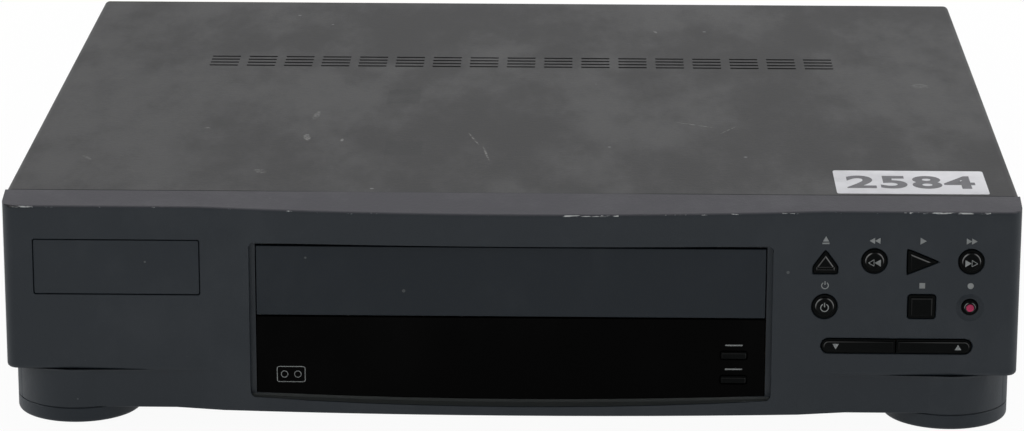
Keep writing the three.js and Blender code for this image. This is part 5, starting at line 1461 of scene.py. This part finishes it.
def coaxial_pins():
    """The aerial sockets' centres: a hollow contact in one and a pin in the other, each in a
    white collar."""
    back = span("aerial_module")[1][1]
    for x, hollow in AERIALS:
        tip = AERIAL_TIP + (AERIAL_BORE if hollow else ((0, 0),))
        for part, shape, steps, finish, slot in (
            ("collar", AERIAL_COLLAR, 32, "white_plastic", "white_plastic"),
            ("contact", tip, 24, "contact_metal", "zinc_steel"),
        ):
            profile = [(radius, back - under) for radius, under in shape]
            name = f"aerial_{part}_{int(x)}"
            piece = turned(name, profile, (x, 0, AERIAL_HEIGHT), axis="y", steps=steps)
            finish_piece(piece, finish, CASE, slot)


# Inside: the pieces that keep their own shapes, by finish
INSIDE = {
    "main_laminate": "main_board",
    "board_laminate": "front_board",
    "tube_glass": "display_tube",
    "turned_aluminium": "heat_sink drum_base lower_drum upper_drum",
    "zinc_steel": "power_transformer deck_plate lift_bracket_left lift_bracket_right lift_bridge"
    " lift_carriage cassette_holder idler_arm pinch_arm loading_motor",
    "white_plastic": "supply_reel_table take_up_reel_table idler_wheel loading_arm_left"
    " loading_arm_right cam_gear motor_pinion",
    "polished_steel": "capstan sound_head erase_head",
    "roller_rubber": "pinch_roller",
}


# Studio

FLOOR_RINGS, FLOOR_STEPS = 16, 96
# The floor turns from paper to plain white between these distances, in metres
FLOOR_FADE = (0.25, 0.8)
# The surround turns from white to the ceiling between these slopes of a ray
CEILING_FADE = (0.78, 0.95)
# Where the lights point, and each light: its place and size in metres, the setting of its power
# and its share of that
LIGHT_AIM = (0, 0, 0.05)
LIGHTS = {
    "light_top_left": ((-0.85, 0.5, 1.6), (1.1, 1.4), "top_power", 0.5),
    "light_side_left": ((-1.9, 0.2, 0.65), (0.35, 1.1), "side_power", 1),
    "light_top_right": ((0.85, 0.5, 1.6), (1.1, 1.4), "top_power", 0.5),
    "light_side_right": ((1.9, 0.2, 0.65), (0.35, 1.1), "side_power", 1),
    "light_front": ((-0.6, -2.2, 1.0), (2.0, 1.2), "front_power", 1),
    "light_rear": ((0.7, 2.2, 1.0), (2.0, 1.2), "rear_power", 1),
}
# The camera: its place, its turns in degrees about y, x and z, in that order, and its film
EYE = (28.4, -1428.5, 491.4)
EYE_TURNS = ((1, 0.11), (0, 15.95), (2, -1.12))
FILM = 36.0
CLIP = (0.05, 60.0)


def floor():
    """A round floor as rings of a polar grid: x = r cos a, y = r sin a."""
    ring = np.linspace(0, 1, FLOOR_RINGS)[:, None, None] ** 2 * studio().floor_radius / MM
    flat = (circle(1.0, FLOOR_STEPS)[None] * ring).reshape(-1, 2) - [0, FRONT]
    faces = grid_faces(FLOOR_RINGS, FLOOR_STEPS)
    piece = close_up(mesh_object("studio_floor", np.insert(flat, 2, 0, 1), faces), merge=1e-6)
    piece.data.materials.append(floor_material())
    return piece


def seen_directly(w):
    """One for rays from the camera, from mirrors and through glass, and nothing for light."""
    rays = w.add("LightPath").node.outputs
    kinds = ("Is Camera Ray", "Is Transmission Ray", "Is Glossy Ray")
    return w.most(*(rays[kind] for kind in kinds))


def floor_material():
    """Pale paper. The camera, mirrors and glass see it mostly as the white surround, and wholly
    so away from the object, while it still takes the object's shadow."""
    made = bpy.data.materials.new("studio_paper")
    made.use_nodes = True
    made.node_tree.nodes.clear()
    w = Wiring(made.node_tree)
    out = w.tree.nodes.new("ShaderNodeOutputMaterial")
    place = w.place()
    away = w.spread(w.distance(place), *FLOOR_FADE, studio().floor_white, 1.0)
    fibre = w.spread(w.noise(place, 90.0, 3), 0.3, 0.7)
    tone = w.mix(fibre, shade(236, 236, 236), shade(241, 241, 241))
    paper = w.add("BsdfDiffuse", {"Color": tone})
    share = w.times(away, seen_directly(w))
    feed(out.inputs[0], w.blend(share, paper, w.add("Emission")))
    return made


def surround():
    """A white backdrop up to a height, as the camera, mirrors and glass see it, under a grey
    ceiling, and an even grey as a light."""
    world = bpy.data.worlds.new("studio_surround")
    bpy.context.scene.world = world
    world.use_nodes = True
    world.node_tree.nodes.clear()
    w = Wiring(world.node_tree)
    out = w.tree.nodes.new("ShaderNodeOutputWorld")
    slope = w.axes(w.add("TexCoord", output="Generated"))["Z"]
    height = w.spread(slope, *CEILING_FADE, 1.0, studio().ceiling)
    light = w.add("Background", {"Strength": studio().surround})
    white = w.add("Background", {"Strength": height})
    feed(out.inputs[0], w.blend(seen_directly(w), light, white))


def soft_light(name, place, size, power):
    """A square soft light that faces the object. Its turn is built from the line between them."""
    data = bpy.data.lights.new(name, "AREA")
    data.shape = "RECTANGLE"
    data.size, data.size_y = size
    data.energy = power
    away = np.subtract(place, LIGHT_AIM)
    away /= np.linalg.norm(away)
    side = np.cross([0.0, 1.0, 0.0] if abs(away[2]) > 0.9 else [0.0, 0.0, 1.0], away)
    side /= np.linalg.norm(side)
    stand(placed(name, data), [side, np.cross(away, side), away], place)


def stand(piece, axes, place):
    """Turns a light or the camera to three axes and puts it in its place, in metres."""
    turn = np.eye(4)
    turn[:3, :3] = np.transpose(axes)
    turn[:3, 3] = place
    piece.matrix_world = Matrix(turn.tolist())


def turn_about(axis, degrees):
    """A rotation about one of the three axes: the next two turn into each other, with the cosine
    on the diagonal and the sine off it."""
    c, s = math.cos(math.radians(degrees)), math.sin(math.radians(degrees))
    first, second = (axis + 1) % 3, (axis + 2) % 3
    turn = np.eye(3)
    turn[first, first] = turn[second, second] = c
    turn[first, second], turn[second, first] = -s, s
    return turn


def camera():
    """The photograph's view: turned by a small yaw, tipped down and almost level."""
    data = bpy.data.cameras.new("studio_camera")
    data.lens = studio().focal
    data.sensor_width = FILM
    data.clip_start, data.clip_end = CLIP
    right, ahead, up = reduce(np.matmul, (turn_about(*turn) for turn in EYE_TURNS))
    eye = placed("studio_camera", data)
    stand(eye, [right, up, -ahead], put(EYE))
    bpy.context.scene.camera = eye


# Operators


class RecorderOperator(bpy.types.Operator):
    """Shared settings of the recorder's operators."""

    bl_options = {"REGISTER", "UNDO"}


class RECORDER_OT_studio(RecorderOperator):
    """Make the floor, the surround, the soft lights and the camera"""

    bl_idname = "recorder.studio"
    bl_label = "Studio"

    def execute(self, context):
        context.scene.view_settings.view_transform = "Standard"
        floor()
        surround()
        for name, (place, size, power, share) in LIGHTS.items():
            soft_light(name, place, size, getattr(studio(), power) * share)
        camera()
        return {"FINISHED"}


class RECORDER_OT_top_cover(RecorderOperator):
    """Make the folded cover with its vents"""

    bl_idname = "recorder.top_cover"
    bl_label = "Top cover"

    def execute(self, context):
        finish_piece(top_cover(), "cover_paint", CASE, "cover_paint", "top_cover")
        return {"FINISHED"}


class RECORDER_OT_fascia(RecorderOperator):
    """Make the moulded front with its rounded edges and the blanking plate"""

    bl_idname = "recorder.fascia"
    bl_label = "Fascia"

    def execute(self, context):
        shell = rounded_copy("front_fascia_shell", "front_fascia", fascia_widths)
        finish_piece(shell, "fascia_plastic", CASE, "fascia_plastic", "front_fascia")
        record_bowl()
        blanking_plate()
        return {"FINISHED"}


class RECORDER_OT_flap(RecorderOperator):
    """Make the cassette flap with its ears and pins"""

    bl_idname = "recorder.flap"
    bl_label = "Cassette flap"

    def execute(self, context):
        node, finish = "cassette_flap", "flap_plastic"
        rounded_piece("cassette_flap_panel", node, 0.8, finish, finish, "cassette_flap_body")
        return {"FINISHED"}


class RECORDER_OT_window(RecorderOperator):
    """Make the smoked window and the marks behind it"""

    bl_idname = "recorder.window"
    bl_label = "Display window"

    def execute(self, context):
        finish = "window_plastic"
        rounded_piece("display_window_pane", "display_window", 0.7, finish, finish)
        window_marks()
        return {"FINISHED"}


class RECORDER_OT_keys(RecorderOperator):
    """Make the eleven keys and their signs"""

    bl_idname = "recorder.keys"
    bl_label = "Keys"

    def execute(self, context):
        for name in KEYS:
            make_key(name)
        key_marks()
        front_marks()
        return {"FINISHED"}


class RECORDER_OT_label(RecorderOperator):
    """Make the paper label and its figures"""

    bl_idname = "recorder.label"
    bl_label = "Number label"

    def execute(self, context):
        number_label()
        label_digits()
        return {"FINISHED"}


class RECORDER_OT_feet(RecorderOperator):
    """Make the four feet"""

    bl_idname = "recorder.feet"
    bl_label = "Feet"

    def execute(self, context):
        for side in SIDES:
            foot(f"foot_front_{side}", FRONT_FOOT, "foot_plastic")
            foot(f"foot_rear_{side}", REAR_FOOT, "foot_rubber")
        return {"FINISHED"}


class RECORDER_OT_tray(RecorderOperator):
    """Make the base tray with its rounded edges"""

    bl_idname = "recorder.tray"
    bl_label = "Base tray"

    def execute(self, context):
        rounded_piece("base_tray_shell", "base_tray", 1, "tray_plastic", "fascia_plastic")
        return {"FINISHED"}


class RECORDER_OT_rear(RecorderOperator):
    """Make the rear panel, its screws and the sockets"""

    bl_idname = "recorder.rear"
    bl_label = "Rear"

    def execute(self, context):
        for node in ("rear_panel", "mains_inlet", "scart_socket_left", "scart_socket_right"):
            rounded_piece(node + "_face", node, 0.6, "black_plastic", "black_plastic")
        rounded_piece("aerial_module_case", "aerial_module", 0.8, "zinc_steel", "zinc_steel")
        for side in SIDES:
            scart_contacts(f"scart_socket_{side}")
            screw(f"rear_screw_{side}")
        coaxial_pins()
        return {"FINISHED"}


class RECORDER_OT_inside(RecorderOperator):
    """Give the pieces inside the case their finishes"""

    bl_idname = "recorder.inside"
    bl_label = "Inside"

    def execute(self, context):
        for finish, nodes in INSIDE.items():
            for node in nodes.split():
                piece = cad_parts[node]
                piece.data.materials.clear()
                piece.data.materials.append(material(finish))
        return {"FINISHED"}


class RECORDER_PT_panel(bpy.types.Panel):
    """The recorder's settings and operators"""

    bl_label = "Cassette recorder"
    bl_idname = "RECORDER_PT_panel"
    bl_space_type = "VIEW_3D"
    bl_region_type = "UI"
    bl_category = "Recorder"

    def draw(self, context):
        for group in (colours(), sizes(), studio()):
            box = self.layout.box()
            for name in group.bl_rna.properties.keys():
                if name not in ("rna_type", "name"):
                    box.prop(group, name)
        for operator in OPERATORS:
            self.layout.operator(operator.bl_idname)


SETTINGS = {
    "recorder_colours": RecorderColours,
    "recorder_sizes": RecorderSizes,
    "recorder_stage": RecorderStage,
}
OPERATORS = (
    RECORDER_OT_studio,
    RECORDER_OT_top_cover,
    RECORDER_OT_fascia,
    RECORDER_OT_flap,
    RECORDER_OT_window,
    RECORDER_OT_keys,
    RECORDER_OT_label,
    RECORDER_OT_feet,
    RECORDER_OT_tray,
    RECORDER_OT_rear,
    RECORDER_OT_inside,
)
CLASSES = (*SETTINGS.values(), *OPERATORS, RECORDER_PT_panel)


def register():
    """Adds the settings, the operators and the panel."""
    for each in CLASSES:
        bpy.utils.register_class(each)
    for name, group in SETTINGS.items():
        setattr(bpy.types.Scene, name, PointerProperty(type=group))


def unregister():
    """Takes them away again."""
    for name in SETTINGS:
        delattr(bpy.types.Scene, name)
    for each in reversed(CLASSES):
        bpy.utils.unregister_class(each)


def main():
    """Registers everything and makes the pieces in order."""
    register()
    for operator in OPERATORS:
        group, name = operator.bl_idname.split(".")
        getattr(getattr(bpy.ops, group), name)()


if __name__ == "__main__":
    main()
